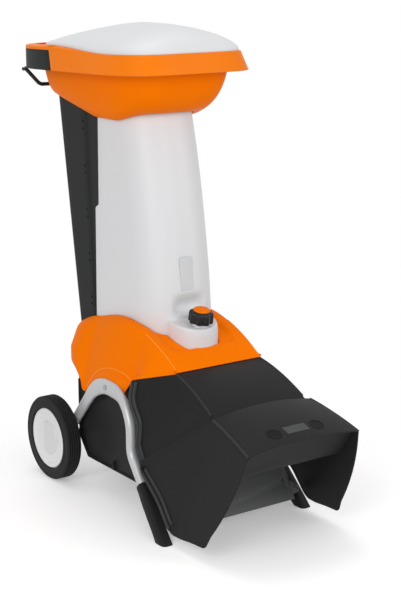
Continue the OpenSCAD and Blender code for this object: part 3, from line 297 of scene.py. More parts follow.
class ShaderTree(Tree):
    """Shader of one material or world."""

    def __init__(self, owner: Union[bpy.types.Material, bpy.types.World]) -> None:
        """Clears the owner's tree and starts it afresh.

        Args:
            owner: The material or world.
        """
        owner.use_nodes = True
        owner.node_tree.nodes.clear()
        super().__init__(owner.node_tree)

    def term(self, kind: str, inputs: Optional[dict] = None, output: Union[int, str] = 0,
             **settings: object) -> Term:
        """Returns one output of a new node."""
        return Term(self, self.add(kind, inputs, **settings).outputs[output])

    def math(self, operation: str, a: Operand, b: Operand) -> Term:
        """Returns the result of one Math node."""
        return self.term("ShaderNodeMath", {0: a, 1: b}, operation=operation)

    def within(self, value: Operand, low: float, high: float) -> Term:
        """Returns a soft 0 to 1 as the value goes from low to high."""
        values = {"Value": value, "From Min": low, "From Max": high}
        return self.term("ShaderNodeMapRange", values, interpolation_type="SMOOTHSTEP")

    def place(self, stretch: tuple[float, float, float] = (1, 1, 1)) -> Term:
        """Returns the object coordinates, stretched where a pattern runs one way.

        Args:
            stretch: Scale along each axis.

        Returns:
            The coordinates.
        """
        source = self.term("ShaderNodeTexCoord", output="Object")
        if stretch == (1, 1, 1):
            return source
        return self.term("ShaderNodeMapping", {"Vector": source, "Scale": stretch})

    def noise(self, place: Term, spacing: float, detail: float = 2.0, rough: float = 0.5) -> Term:
        """Returns noise whose lumps are about spacing millimetres apart."""
        values = {"Vector": place, "Scale": 1 / (spacing * MM), "Detail": detail, "Roughness": rough}
        return self.term("ShaderNodeTexNoise", values)

    def cells(self, place: Term, spacing: float) -> Term:
        """Returns the distance to the nearest of points about spacing millimetres apart."""
        values = {"Vector": place, "Scale": 1 / (spacing * MM)}
        return self.term("ShaderNodeTexVoronoi", values, "Distance")

    def attribute(self, name: str) -> Term:
        """Returns a number stored on the piece's points."""
        return self.term("ShaderNodeAttribute", output="Fac", attribute_name=name)

    def blend(self, a: Union[Term, tuple], b: Union[Term, tuple], share: Operand) -> Term:
        """Returns the colour a share of the way from a to b."""
        return self.term("ShaderNodeMix", {0: share, 6: a, 7: b}, 2, data_type="RGBA")

    def surface(self, colour: Term, rough: Term, height: Term, depth: float, fixed: dict) -> None:
        """Ends a material in its shader.

        Args:
            colour: Base colour over the surface.
            rough: Roughness over the surface.
            height: Height of the fine relief, 0 to 1.
            depth: How deep that relief is, in millimetres.
            fixed: Values of the shader's other sockets, the same all over.
        """
        bump = self.term("ShaderNodeBump", {"Strength": 1.0, "Distance": depth * MM, "Height": height})
        values = {"Base Color": colour, "Roughness": rough, "Normal": bump, **fixed}
        shader = self.term("ShaderNodeBsdfPrincipled", values)
        self.add("ShaderNodeOutputMaterial", {"Surface": shader})


class ShapeTree(Tree):
    """Geometry tree with named inputs that turns a guide into a plain mesh."""

    def __init__(self, name: str, sizes: dict[str, str]) -> None:
        """Starts a tree.

        Args:
            name: The tree's name.
            sizes: Names of its inputs and the kind of each one's socket.
        """
        group = bpy.data.node_groups.new(name, "GeometryNodeTree")
        group.interface.new_socket("Guide", in_out="INPUT", socket_type="NodeSocketGeometry")
        for key, kind in sizes.items():
            group.interface.new_socket(key, in_out="INPUT", socket_type=kind)
        group.interface.new_socket("Piece", in_out="OUTPUT", socket_type="NodeSocketGeometry")
        super().__init__(group)
        self.start = self.add("NodeGroupInput")

    def end(self, shape: bpy.types.NodeSocket) -> None:
        """Ends the tree with real geometry in its finish.

        Args:
            shape: Geometry that the tree made.
        """
        real = self.add("GeometryNodeRealizeInstances", {0: shape})
        finish = self.start.outputs["Finish"]
        dressed = self.add("GeometryNodeSetMaterial", {"Geometry": real.outputs[0], "Material": finish})
        self.add("NodeGroupOutput", {0: dressed.outputs[0]})

    def run(self, guide: Thing, values: dict) -> Thing:
        """Runs the tree on a guide.

        Args:
            guide: Object whose mesh guides the tree.
            values: Values of the tree's inputs by name.

        Returns:
            The guide's object with the finished plain mesh in it.
        """
        modifier = guide.modifiers.new("shape", "NODES")
        modifier.node_group = self.tree
        for item in self.tree.interface.items_tree:
            if item.in_out == "INPUT" and item.name in values:
                modifier[item.identifier] = values[item.name]
        return baked(guide)


@lru_cache(maxsize=None)
def copy_tree() -> ShapeTree:
    """Returns the tree that sets copies of one piece on the guide's points, each with its own turn.

    Returns:
        The tree, made once.
    """
    tree = ShapeTree("copies_on_points", {"Copy": "NodeSocketObject", "Size": "NodeSocketFloat",
                                          "Finish": "NodeSocketMaterial"})
    source = {"Object": tree.start.outputs["Copy"], "As Instance": True}
    copy = tree.add("GeometryNodeObjectInfo", source, transform_space="ORIGINAL")
    turn = tree.add("GeometryNodeInputNamedAttribute", {"Name": "turn"}, data_type="FLOAT_VECTOR")
    spin = tree.add("FunctionNodeEulerToRotation", {0: turn.outputs[0]})
    placed = tree.add("GeometryNodeInstanceOnPoints", {
        "Points": tree.start.outputs["Guide"], "Instance": copy.outputs["Geometry"],
        "Rotation": spin.outputs[0], "Scale": tree.start.outputs["Size"]})
    tree.end(placed.outputs[0])
    return tree


@lru_cache(maxsize=None)
def sweep_tree() -> ShapeTree:
    """Returns the tree that runs a round section along the guide's line.

    Returns:
        The tree, made once.
    """
    tree = ShapeTree("round_bar_along_line", {"Radius": "NodeSocketFloat", "Sides": "NodeSocketInt",
                                              "Finish": "NodeSocketMaterial"})
    line = tree.add("GeometryNodeMeshToCurve", {0: tree.start.outputs["Guide"]})
    section = tree.add("GeometryNodeCurvePrimitiveCircle", {
        "Resolution": tree.start.outputs["Sides"], "Radius": tree.start.outputs["Radius"]})
    bar = tree.add("GeometryNodeCurveToMesh", {
        "Curve": line.outputs[0], "Profile Curve": section.outputs[0], "Fill Caps": True})
    tree.end(bar.outputs[0])
    return tree


# Forms


class Form:
    """Points and faces of one piece in millimetres, gathered before its mesh is made."""

    def __init__(self) -> None:
        """Starts empty."""
        self.points: list[Point] = []
        self.faces: list[tuple[int, ...]] = []

    def add(self, points: Iterable[Point], faces: Iterable[Sequence[int]]) -> "Form":
        """Adds points and faces, and returns the form.

        Args:
            points: New points.
            faces: Faces, counted from the first new point.

        Returns:
            The form.
        """
        base = len(self.points)
        self.points += [np.asarray(p, dtype=float) for p in points]
        real = [dict.fromkeys(face) for face in faces]
        self.faces += [tuple(base + i for i in face) for face in real if len(face) > 2]
        return self

    def skin(self, grid: Grid, wall: float, ring: bool = False, capped: bool = False) -> "Form":
        """Adds a shell of even wall behind a grid of outside points.

        Args:
            grid: Rows of points; columns to the right and rows upwards look at the outside.
            wall: Thickness of the wall.
            ring: Whether the last column joins the first.
            capped: Whether the last row is closed across.

        Returns:
            The form.
        """
        g = np.array(grid, dtype=float)
        m, n = g.shape[:2]
        inner = g - wall * grid_normals(g, ring)
        if capped:
            inner[-1] -= wall * unit(g[-1].mean(axis=0) - g[-2].mean(axis=0))
        last = n if ring else n - 1
        faces: list[tuple[int, ...]] = []

        def quad(*corners: tuple[int, int, int]) -> None:
            """Adds the face between four points, each given by its layer, row and column."""
            faces.append(tuple(layer * m * n + i % m * n + j % n for layer, i, j in corners))

        for j in range(last):
            for i in range(m - 1):
                quad((0, i, j), (0, i, j + 1), (0, i + 1, j + 1), (0, i + 1, j))
                quad((1, i, j), (1, i + 1, j), (1, i + 1, j + 1), (1, i, j + 1))
            quad((0, 0, j), (1, 0, j), (1, 0, j + 1), (0, 0, j + 1))
            if not capped:
                quad((0, -1, j), (0, -1, j + 1), (1, -1, j + 1), (1, -1, j))
        if not ring:
            for i in range(m - 1):
                quad((0, i, 0), (0, i + 1, 0), (1, i + 1, 0), (1, i, 0))
                quad((0, i, -1), (1, i, -1), (1, i + 1, -1), (0, i + 1, -1))
        if capped:
            for j in range(n // 2):
                quad((0, -1, j), (0, -1, j + 1), (0, -1, -2 - j), (0, -1, -1 - j))
                quad((1, -1, -1 - j), (1, -1, -2 - j), (1, -1, j + 1), (1, -1, j))
            quad((0, -1, 0), (0, -1, -1), (1, -1, -1), (1, -1, 0))
        return self.add(list(g.reshape(-1, 3)) + list(inner.reshape(-1, 3)), faces)

    def loft(self, grid: Grid, loop: bool = False) -> "Form":
        """Adds a solid through closed rings, its ends closed or, as a loop, joined; returns the form.

        Args:
            grid: Rings of points.
            loop: Whether the last ring joins the first.

        Returns:
            The form.
        """
        m, n = len(grid), len(grid[0])
        points = [np.asarray(p, dtype=float) for row in grid for p in row]
        faces: list[tuple[int, ...]] = []
        for i in range(m if loop else m - 1):
            for j in range(n):
                k = (j + 1) % n
                faces.append((i * n + j, i * n + k, (i + 1) % m * n + k, (i + 1) % m * n + j))
        if not loop:
            faces.append(tuple(range(n - 1, -1, -1)))
            faces.append(tuple((m - 1) * n + j for j in range(n)))
        if signed_volume(points, faces) < 0:
            faces = [tuple(reversed(face)) for face in faces]
        return self.add(points, faces)

    def lathe(self, profile: Profile, origin: Point, axis: Point, segments: int = 64,
              loop: bool = False) -> "Form":
        """Adds a turned form.

        Args:
            profile: Pairs of radius and height along the axis.
            origin: Point of the axis at height 0.
            axis: Direction of the axis.
            segments: Number of facets round the axis.
            loop: Whether the profile closes on itself, as a tyre's does.

        Returns:
            The form.
        """
        along = unit(axis)
        across = unit(np.cross(along, vec(1, 0, 0) if abs(along[0]) < 0.9 else vec(0, 1, 0)))
        beside = np.cross(along, across)
        round_axis = [across * cos(a) + beside * sin(a) for a in turns(segments)]
        grid = [[origin + along * h + out * r for out in round_axis] for r, h in profile]
        return self.loft(grid, loop)

    def mirrored(self) -> "Form":
        """Returns a new form with this one on both sides of the machine."""
        other = self.on(Side.RIGHT)
        return Form().add(self.points, self.faces).add(other.points, other.faces)

    def on(self, side: Side) -> "Form":
        """Returns this left-hand form for the given side."""
        turned = [tuple(reversed(face)) for face in self.faces]
        return self if side is Side.LEFT else Form().add([flipped(p) for p in self.points], turned)

    def object(self, name: str, round_edge: float = 0.0, edge_angle: float = 50.0) -> Thing:
        """Makes the piece's object.

        Args:
            name: The object's name.
            round_edge: Radius of the rounding on sharp edges, in millimetres.
            edge_angle: Angle above which an edge counts as sharp.

        Returns:
            The object, its place in its mesh.
        """
        mesh = bpy.data.meshes.new(name)
        mesh.from_pydata([tuple(p * MM) for p in self.points], [], self.faces)
        merge(mesh)
        piece = new_object(name, mesh)
        if round_edge > 0:
            add_rounding(piece, round_edge, edge_angle)
            baked(piece)
        return piece


def grid_normals(g: np.ndarray, ring: bool) -> np.ndarray:
    """Returns the outward normals of a grid; a row that falls on its neighbour takes that one's.

    Args:
        g: The grid.
        ring: Whether the last column joins the first.

    Returns:
        One normal for each point.
    """
    along = np.roll(g, -1, 1) - np.roll(g, 1, 1) if ring else np.gradient(g, axis=1)
    normals = np.cross(along, np.gradient(g, axis=0))
    length = np.linalg.norm(normals, axis=2, keepdims=True)
    normals = np.where(length > 1e-6, normals / np.maximum(length, 1e-6), 0)
    for i in range(1, len(normals)):
        empty = length[i, :, 0] <= 1e-6
        normals[i][empty] = normals[i - 1][empty]
    return normals


def signed_volume(points: Sequence[Point], faces: Iterable[Sequence[int]]) -> float:
    """Returns a measure of the volume inside the faces, below 0 where they point inwards.

    Args:
        points: Points of the form.
        faces: Its faces.

    Returns:
        Six times the volume.
    """
    total = 0.0
    for face in faces:
        for i in range(1, len(face) - 1):
            total += float(np.dot(points[face[0]], np.cross(points[face[i]], points[face[i + 1]])))
    return total


def new_object(name: str, data: bpy.types.ID) -> Thing:
    """Returns a new object of a mesh, camera or lamp in the scene.

    Args:
        name: Its name.
        data: The mesh, camera or lamp.

    Returns:
        The object.
    """
    piece = bpy.data.objects.new(name, data)
    bpy.context.scene.collection.objects.link(piece)
    return piece


def aimed(name: str, data: bpy.types.ID, at: tuple, towards: tuple) -> Thing:
    """Returns a new camera or lamp that looks at a point.

    Args:
        name: Its name.
        data: The camera or lamp.
        at: Where it stands.
        towards: The point.

    Returns:
        The object.
    """
    item = new_object(name, data)
    item.location = at
    item.rotation_euler = (Vector(towards) - Vector(at)).to_track_quat("-Z", "Y").to_euler()
    return item


def merge(mesh: bpy.types.Mesh, flat: bool = False) -> None:
    """Merges a mesh's doubled points, and joins its flat triangles where flat is asked for.

    Args:
        mesh: The mesh.
        flat: Whether flat triangles are joined.
    """
    work = bmesh.new()
    work.from_mesh(mesh)
    bmesh.ops.remove_doubles(work, verts=work.verts, dist=2e-6)
    bmesh.ops.dissolve_degenerate(work, edges=work.edges, dist=1e-6)
    if flat:
        bmesh.ops.dissolve_limit(work, angle_limit=radians(0.6), verts=work.verts, edges=work.edges)
    work.to_mesh(mesh)
    work.free()


def add_rounding(piece: Thing, radius: float, angle: float) -> None:
    """Adds a modifier that rounds the edges sharper than the angle.

    Args:
        piece: The piece.
        radius: Radius in millimetres.
        angle: The angle in degrees.
    """
    bevel = piece.modifiers.new("rounded_edges", "BEVEL")
    bevel.width = radius * MM
    bevel.segments = 2
    bevel.limit_method = "ANGLE"
    bevel.angle_limit = radians(angle)
    bevel.miter_outer = "MITER_ARC"


def baked(piece: Thing) -> Thing:
    """Turns a piece with modifiers into a plain mesh, and returns it.

    Args:
        piece: The piece.

    Returns:
        The same piece.
    """
    depsgraph = bpy.context.evaluated_depsgraph_get()
    mesh = bpy.data.meshes.new_from_object(piece.evaluated_get(depsgraph), depsgraph=depsgraph)
    piece.modifiers.clear()
    old = piece.data
    piece.data = mesh
    bpy.data.meshes.remove(old)
    mesh.name = piece.name
    return piece


def cut(piece: Thing, tool: Form) -> None:
    """Cuts a form out of a piece.

    Args:
        piece: The piece.
        tool: The form.
    """
    knife = tool.object("cutting_form")
    modifier = piece.modifiers.new("cut", "BOOLEAN")
    modifier.operation = "DIFFERENCE"
    modifier.solver = "EXACT"
    modifier.object = knife
    baked(piece)
    bpy.data.objects.remove(knife)


def refined(node: str, round_edge: float) -> Thing:
    """Returns a finer piece in a node's own shape, with its doubles merged and its edges rounded.

    Args:
        node: The node.
        round_edge: Radius of the rounding, in millimetres.

    Returns:
        The piece.
    """
    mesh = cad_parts[node].data.copy()
    mesh.materials.clear()
    merge(mesh, flat=True)
    piece = new_object(f"{node}_fine", mesh)
    add_rounding(piece, round_edge, 40.0)
    return baked(piece)


def swept(name: str, path: Row, radius: float, look: "Look", sides: int) -> Thing:
    """Returns a round bar along a path of points in millimetres.

    Args:
        name: The bar's name.
        path: Its middle.
        radius: Its radius.
        look: Its finish.
        sides: Number of facets round it.

    Returns:
        The bar.
    """
    mesh = bpy.data.meshes.new(name)
    mesh.from_pydata([tuple(p * MM) for p in path], [(i, i + 1) for i in range(len(path) - 1)], [])
    values = {"Radius": radius * MM, "Sides": sides, "Finish": look.value.material()}
    return sweep_tree().run(new_object(name, mesh), values)


def copied(name: str, form: Form, places: Sequence[tuple[Point, tuple]], look: "Look") -> Thing:
    """Returns copies of a small form.

    Args:
        name: Name of the piece that all copies make.
        form: The form, about its own origin.
        places: Where each copy goes, in millimetres, and how it is turned, in radians.
        look: The finish of all copies.

    Returns:
        One object with every copy in its mesh.
    """
    pattern = form.object(f"{name}_pattern", 0.3)
    mesh = bpy.data.meshes.new(name)
    mesh.from_pydata([tuple(p * MM) for p, _ in places], [], [])
    stored = mesh.attributes.new("turn", "FLOAT_VECTOR", "POINT")
    stored.data.foreach_set("vector", [angle for _, turn in places for angle in turn])
    values = {"Copy": pattern, "Size": 1.0, "Finish": look.value.material()}
    piece = copy_tree().run(new_object(name, mesh), values)
    bpy.data.objects.remove(pattern)
    return piece


def joined(name: str, *parts: Thing) -> Thing:
    """Joins several objects' meshes into the first one, and returns it.

    Args:
        name: The new name.
        parts: The objects, which are used up.

    Returns:
        The new object.
    """
    work = bmesh.new()
    for part in parts:
        work.from_mesh(part.data)
    mesh = bpy.data.meshes.new(name)
    work.to_mesh(mesh)
    work.free()
    for part in parts:
        bpy.data.objects.remove(part)
    return new_object(name, mesh)


def mark_edges(mesh: bpy.types.Mesh) -> None:
    """Stores on each point how sharp the outward edges are that meet there.

    Args:
        mesh: The piece's mesh.
    """
    work = bmesh.new()
    work.from_mesh(mesh)
    sharp = [0.0] * len(work.verts)
    for edge in work.edges:
        if len(edge.link_faces) == 2 and edge.is_convex:
            value = min(1.0, edge.calc_face_angle(0.0) / 0.7)
            for point in edge.verts:
                sharp[point.index] = max(sharp[point.index], value)
    work.free()
    store = mesh.attributes.get("edge") or mesh.attributes.new("edge", "FLOAT", "POINT")
    store.data.foreach_set("value", sharp)


def settle(piece: Thing, body: Body, look: "Look", *nodes: str, smooth: float = 34.0) -> None:
    """Finishes a piece: shading, material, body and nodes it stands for.

    Args:
        piece: The piece's object.
        body: Body that it rides on.
        look: Its finish.
        nodes: Nodes of the frame that it replaces.
        smooth: Angle above which an edge is shaded sharp.
    """
    mesh, finish = piece.data, look.value
    mesh.materials.clear()
    mesh.materials.append(finish.material())
    mesh.shade_smooth()
    mesh.set_sharp_from_angle(angle=radians(smooth))
    mark_edges(mesh)
    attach(piece, body.value)
    if nodes:
        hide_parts(*nodes)
    log.info("%s rides on %s, %d faces", piece.name, body.value, len(mesh.polygons))


def carry(body: Body, look: "Look", round_edge: float, *nodes: str) -> None:
    """Makes finer pieces in the nodes' own shapes.

    Args:
        body: Body that they ride on.
        look: Their finish.
        round_edge: Radius of the rounding on their edges, in millimetres.
        nodes: The nodes.
    """
    for node in nodes:
        settle(refined(node, round_edge), body, look, node)


def bead_pair(name: str, path: Row, radius: float, body: Body, look: "Look", sides: int) -> None:
    """Makes a round bead along a left-hand path and its twin on the right.

    Args:
        name: What both names begin with.
        path: Middle of the left-hand bead.
        radius: Radius of the bead.
        body: Body that both ride on.
        look: Their finish.
        sides: Number of facets round the bead.
    """
    for side in Side:
        line = path if side is Side.LEFT else [flipped(p) for p in path]
        settle(swept(f"{name}_{side.label}", line, radius, look, sides), body, look)


# Finishes


def tint(red: float, green: float, blue: float) -> tuple[float, float, float, float]:
    """Returns a screen colour of 0 to 255 as the renderer's own numbers.

    Args:
        red: Red.
        green: Green.
        blue: Blue.

    Returns:
        The colour with its alpha.
    """
    def linear(value: float) -> float:
        """Returns one channel without the screen's curve."""
        v = value / 255
        return v / 12.92 if v <= 0.04045 else ((v + 0.055) / 1.055) ** 2.4
    return (linear(red), linear(green), linear(blue), 1.0)


def shade(colour: tuple, amount: float) -> tuple[float, float, float, float]:
    """Returns the colour made lighter or darker by a factor."""
    return tuple(min(1.0, c * amount) for c in colour[:3]) + (1.0,)


@dataclass(frozen=True)
class Finish:
    """What every finish has: its name, the record's slot and its colour."""

    name: str
    slot: str
    colour: tuple[float, float, float, float]
    rough: float

    def build(self, tree: ShaderTree) -> None:
        """Fills in the shader; each kind of finish has its own."""
        raise NotImplementedError

    @lru_cache(maxsize=None)
    def material(self) -> bpy.types.Material:
        """Returns the finish's material, made once.

        Returns:
            The material.
        """
        material = bpy.data.materials.new(self.name)
        material.diffuse_color = self.colour
        self.build(ShaderTree(material))
        return material


@dataclass(frozen=True)
class Moulding(Finish):
    """Moulded plastic: grained skin, slow drift of tone, edges lightened by wear and, on the dark
    plastics, by a painted highlight, and a little dust in the grain.
    """

    grain: float = 1.1
    depth: float = 0.03
    drift: float = 0.05
    # How much the edges lighten, and how far: wear on most plastics, and with the dark plastics' strong
    # settings a painted highlight.
    rubbed: float = 0.25
    rubbed_tone: float = 1.35
    gloss: float = 0.07

    def build(self, tree: ShaderTree) -> None:
        """Builds the plastic's shader.

        Args:
            tree: Tree of the material.
        """
        place = tree.place()
        cloud = tree.noise(place, 170, 3)
        skin = tree.noise(place, self.grain, 3, 0.6)
        fleck = tree.noise(place, 7, 4, 0.65)
        # Edge mask: lightens edges as wear and, with strong settings, as a painted highlight along them.
        edge = tree.attribute("edge") ** 5 * tree.within(fleck, 0.3, 0.7)
        tone = tree.blend(shade(self.colour, 1 - self.drift), shade(self.colour, 1 + self.drift), cloud)
        tone = tree.blend(tone, shade(self.colour, 1 - 2.2 * self.drift), (skin > 0.62) * 0.35)
        tone = tree.blend(tone, shade(self.colour, self.rubbed_tone), edge * self.rubbed)
        rough = self.rough + (cloud - 0.5) * 0.1 + (skin - 0.5) * 0.12 - edge * 0.08
        tree.surface(tone, rough, skin + fleck * 0.4, self.depth, {"Specular IOR Level": self.gloss})


@dataclass(frozen=True)
class Lacquer(Finish):
    """Glossy coloured plastic: clear top layer with faint waves, tone drift and fine dust."""

    drift: float = 0.04
    wave: float = 0.05
    gloss: float = 0.03
    coat: float = 0.01

    def build(self, tree: ShaderTree) -> None:
        """Builds the lacquer's shader.

        Args:
            tree: Tree of the material.
        """
        place = tree.place()
        cloud = tree.noise(place, 260, 3)
        wave = tree.noise(place, 9, 2)
        dust = tree.noise(place, 1.4, 4, 0.7)
        edge = tree.attribute("edge") ** 5 * tree.within(dust, 0.35, 0.65)
        tone = tree.blend(shade(self.colour, 1 - self.drift), shade(self.colour, 1 + self.drift), cloud)
        tone = tree.blend(tone, shade(self.colour, 1.2), edge * 0.3)
        tone = tree.blend(tone, shade(self.colour, 0.9), tree.within(dust, 0.62, 0.8) * 0.3)
        rough = self.rough + (cloud - 0.5) * 0.08 + tree.within(dust, 0.5, 0.8) * 0.1
        fixed = {"Specular IOR Level": self.gloss, "Coat Weight": self.coat, "Coat Roughness": 0.15}
        tree.surface(tone, rough, wave + dust * 0.08, self.wave, fixed)


@dataclass(frozen=True)
class Rubber(Finish):
    """Black rubber: fine mould bloom, greyer where its edges are worn."""

    bloom: float = 0.25

    def build(self, tree: ShaderTree) -> None:
        """Builds the rubber's shader.

        Args:
            tree: Tree of the material.
        """
        place = tree.place()
        bloom = tree.noise(place, 24, 5, 0.62)
        pores = tree.cells(place, 1.6)
        edge = tree.attribute("edge") ** 4
        bloomed = tree.within(bloom, 0.42, 0.75) * self.bloom
        tone = tree.blend(self.colour, shade(self.colour, 1.9), bloomed)
        tone = tree.blend(tone, shade(self.colour, 2.2), edge * 0.3 * bloom)
        rough = self.rough + (bloom - 0.5) * 0.25
        tree.surface(tone, rough, pores + bloom, 0.05, {"Specular IOR Level": 0.15})


@dataclass(frozen=True)
class Metal(Finish):
    """Metal: drawn or brushed one way, or sprayed with silver."""

    metallic: float = 1.0
    stretch: tuple[float, float, float] = (1, 1, 0.04)
    grain: float = 0.9
    depth: float = 0.02
    coat: float = 0.0

    def build(self, tree: ShaderTree) -> None:
        """Builds the metal's shader.

        Args:
            tree: Tree of the material.
        """
        place = tree.place()
        lines = tree.noise(tree.place(self.stretch), self.grain, 3, 0.6)
        stain = tree.noise(place, 60, 4, 0.6)
        flake = tree.cells(place, 0.9)
        edge = tree.attribute("edge") ** 4
        tone = tree.blend(shade(self.colour, 0.9), shade(self.colour, 1.06), lines)
        tone = tree.blend(tone, shade(self.colour, 0.82), tree.within(stain, 0.5, 0.8) * 0.4)
        tone = tree.blend(tone, shade(self.colour, 1.25), edge * 0.35)
        rough = self.rough + (lines - 0.5) * 0.16 + (stain - 0.5) * 0.12
        fixed = {"Metallic": self.metallic, "Coat Weight": self.coat, "Coat Roughness": 0.2}
        tree.surface(tone, rough, lines + flake * 0.3, self.depth, fixed)


@dataclass(frozen=True)
class Winding(Finish):
    """Enamelled copper wire: fine bands round the stator with lacquer between them."""

    pitch: float = 1.2

    def build(self, tree: ShaderTree) -> None:
        """Builds the winding's shader.

        Args:
            tree: Tree of the material.
        """
        place = tree.place()
        height = tree.term("ShaderNodeSeparateXYZ", {0: place}, 2)
        stain = tree.noise(place, 14, 3)
        wire = tree.math("SINE", height * (2 * pi / (self.pitch * MM)), 0.0) * 0.5 + 0.5
        tone = tree.blend(shade(self.colour, 0.35), self.colour, wire)
        tone = tree.blend(tone, shade(self.colour, 0.6), tree.within(stain, 0.45, 0.75) * 0.6)
        tree.surface(tone, self.rough + stain * 0.2, wire, 0.2, {"Metallic": 0.6})


class Look(Enum):
    """Finishes of the shredder."""

    # The next finish's lighter orange is a painted highlight: it colours the beads along the hood's
    # crease and waist.
    CREST = Lacquer("orange_crease_plastic", "painted_orange", tint(255, 150, 44), 0.36, gloss=0.06)
    ORANGE = Lacquer("orange_hood_plastic", "painted_orange", tint(249, 121, 0), 0.38, gloss=0.015)
    # The next finish is a paler copy of the hood's orange: painted light, for the light the upturned
    # skirt catches.
    RIM = Lacquer("orange_rim_plastic", "painted_orange", tint(243, 124, 8), 0.42, gloss=0.1)
    WHITE = Lacquer("white_shaft_plastic", "white_plastic", tint(219, 220, 222), 0.42, drift=0.012,
                    gloss=0.3)
    # The next finish's strong edge lightening is partly wear and partly a painted highlight along the
    # edges.
    BLACK = Moulding("black_chute_plastic", "black_plastic", tint(35, 35, 35), 0.45, rubbed=0.7,
                     rubbed_tone=2.6)
    # The next finish's lighter black is a painted highlight: it colours the beads along the chute's and
    # the flap's creases.
    CREASE = Moulding("black_crease_plastic", "black_plastic", tint(44, 45, 45), 0.4, gloss=0.14)
    # The next finish's lighter, glossier black is a painted highlight on the real beads beside the leg.
    BEAD = Moulding("black_bead_plastic", "black_plastic", tint(46, 47, 47), 0.38, gloss=0.2)
    DIMPLE = Moulding("black_dimple_plastic", "black_plastic", tint(29, 29, 29), 0.55, gloss=0.05)
    FOOT = Moulding("black_sleeve_plastic", "black_plastic", tint(34, 34, 34), 0.5, grain=1.6,
                    depth=0.05)
    KNOB = Moulding("black_grip_plastic", "black_plastic", tint(30, 31, 32), 0.4, grain=0.8, gloss=0.25)
    # The next finish's strong edge lightening is partly wear and partly a painted highlight along the
    # edges.
    GREY = Moulding("dark_grey_shell_plastic", "grey_plastic", tint(41, 43, 42), 0.5, depth=0.04,
                    rubbed=0.6, rubbed_tone=2.2)
    PATCH = Moulding("bare_patch_plastic", "black_plastic", tint(74, 75, 75), 0.5, grain=0.7, depth=0.02)
    RAMP = Moulding("dark_grey_ramp_plastic", "grey_plastic", tint(104, 106, 105), 0.5, depth=0.05)
    CAP = Moulding("pale_hub_plastic", "pale_plastic", tint(220, 220, 220), 0.42, drift=0.02, gloss=0.3)
    # The next finish is a slightly darker copy of the cap's plastic: painted shade that sets off the
    # raised plate.
    BADGE = Moulding("pale_hub_plate_plastic", "pale_plastic", tint(210, 210, 211), 0.4, drift=0.02,
                     gloss=0.3)
    TUBE = Metal("sprayed_silver_tube", "tube_silver", tint(190, 191, 193), 0.36, metallic=0.3,
                 stretch=(1, 1, 1), grain=2.4, coat=0.1)
    TYRE = Rubber("tyre_rubber_black", "tyre_rubber", tint(32, 33, 33), 0.66)
    CURTAIN = Rubber("splash_curtain_rubber", "curtain_rubber", tint(36, 36, 36), 0.72)
    STEEL = Metal("bright_steel", "steel", tint(168, 170, 173), 0.34)
    BLADE = Metal("ground_knife_steel", "steel", tint(190, 192, 196), 0.25, stretch=(0.05, 1, 1))
    ALUMINIUM = Metal("cast_aluminium_skin", "cast_aluminium", tint(176, 177, 179), 0.5,
                      stretch=(1, 1, 1), grain=1.8, depth=0.08)
    COPPER = Winding("enamelled_copper_wire", "copper_winding", tint(184, 115, 62), 0.35)
    START = Lacquer("green_button_plastic", "green_plastic", tint(36, 140, 60), 0.35)
    STOP = Lacquer("red_button_plastic", "red_plastic", tint(200, 32, 26), 0.35)
    PLATE = Metal("satin_plate_foil", "plate_grey", tint(190, 191, 193), 0.42, metallic=0.35,
                  stretch=(0.05, 1, 1))


# Frame and wheels


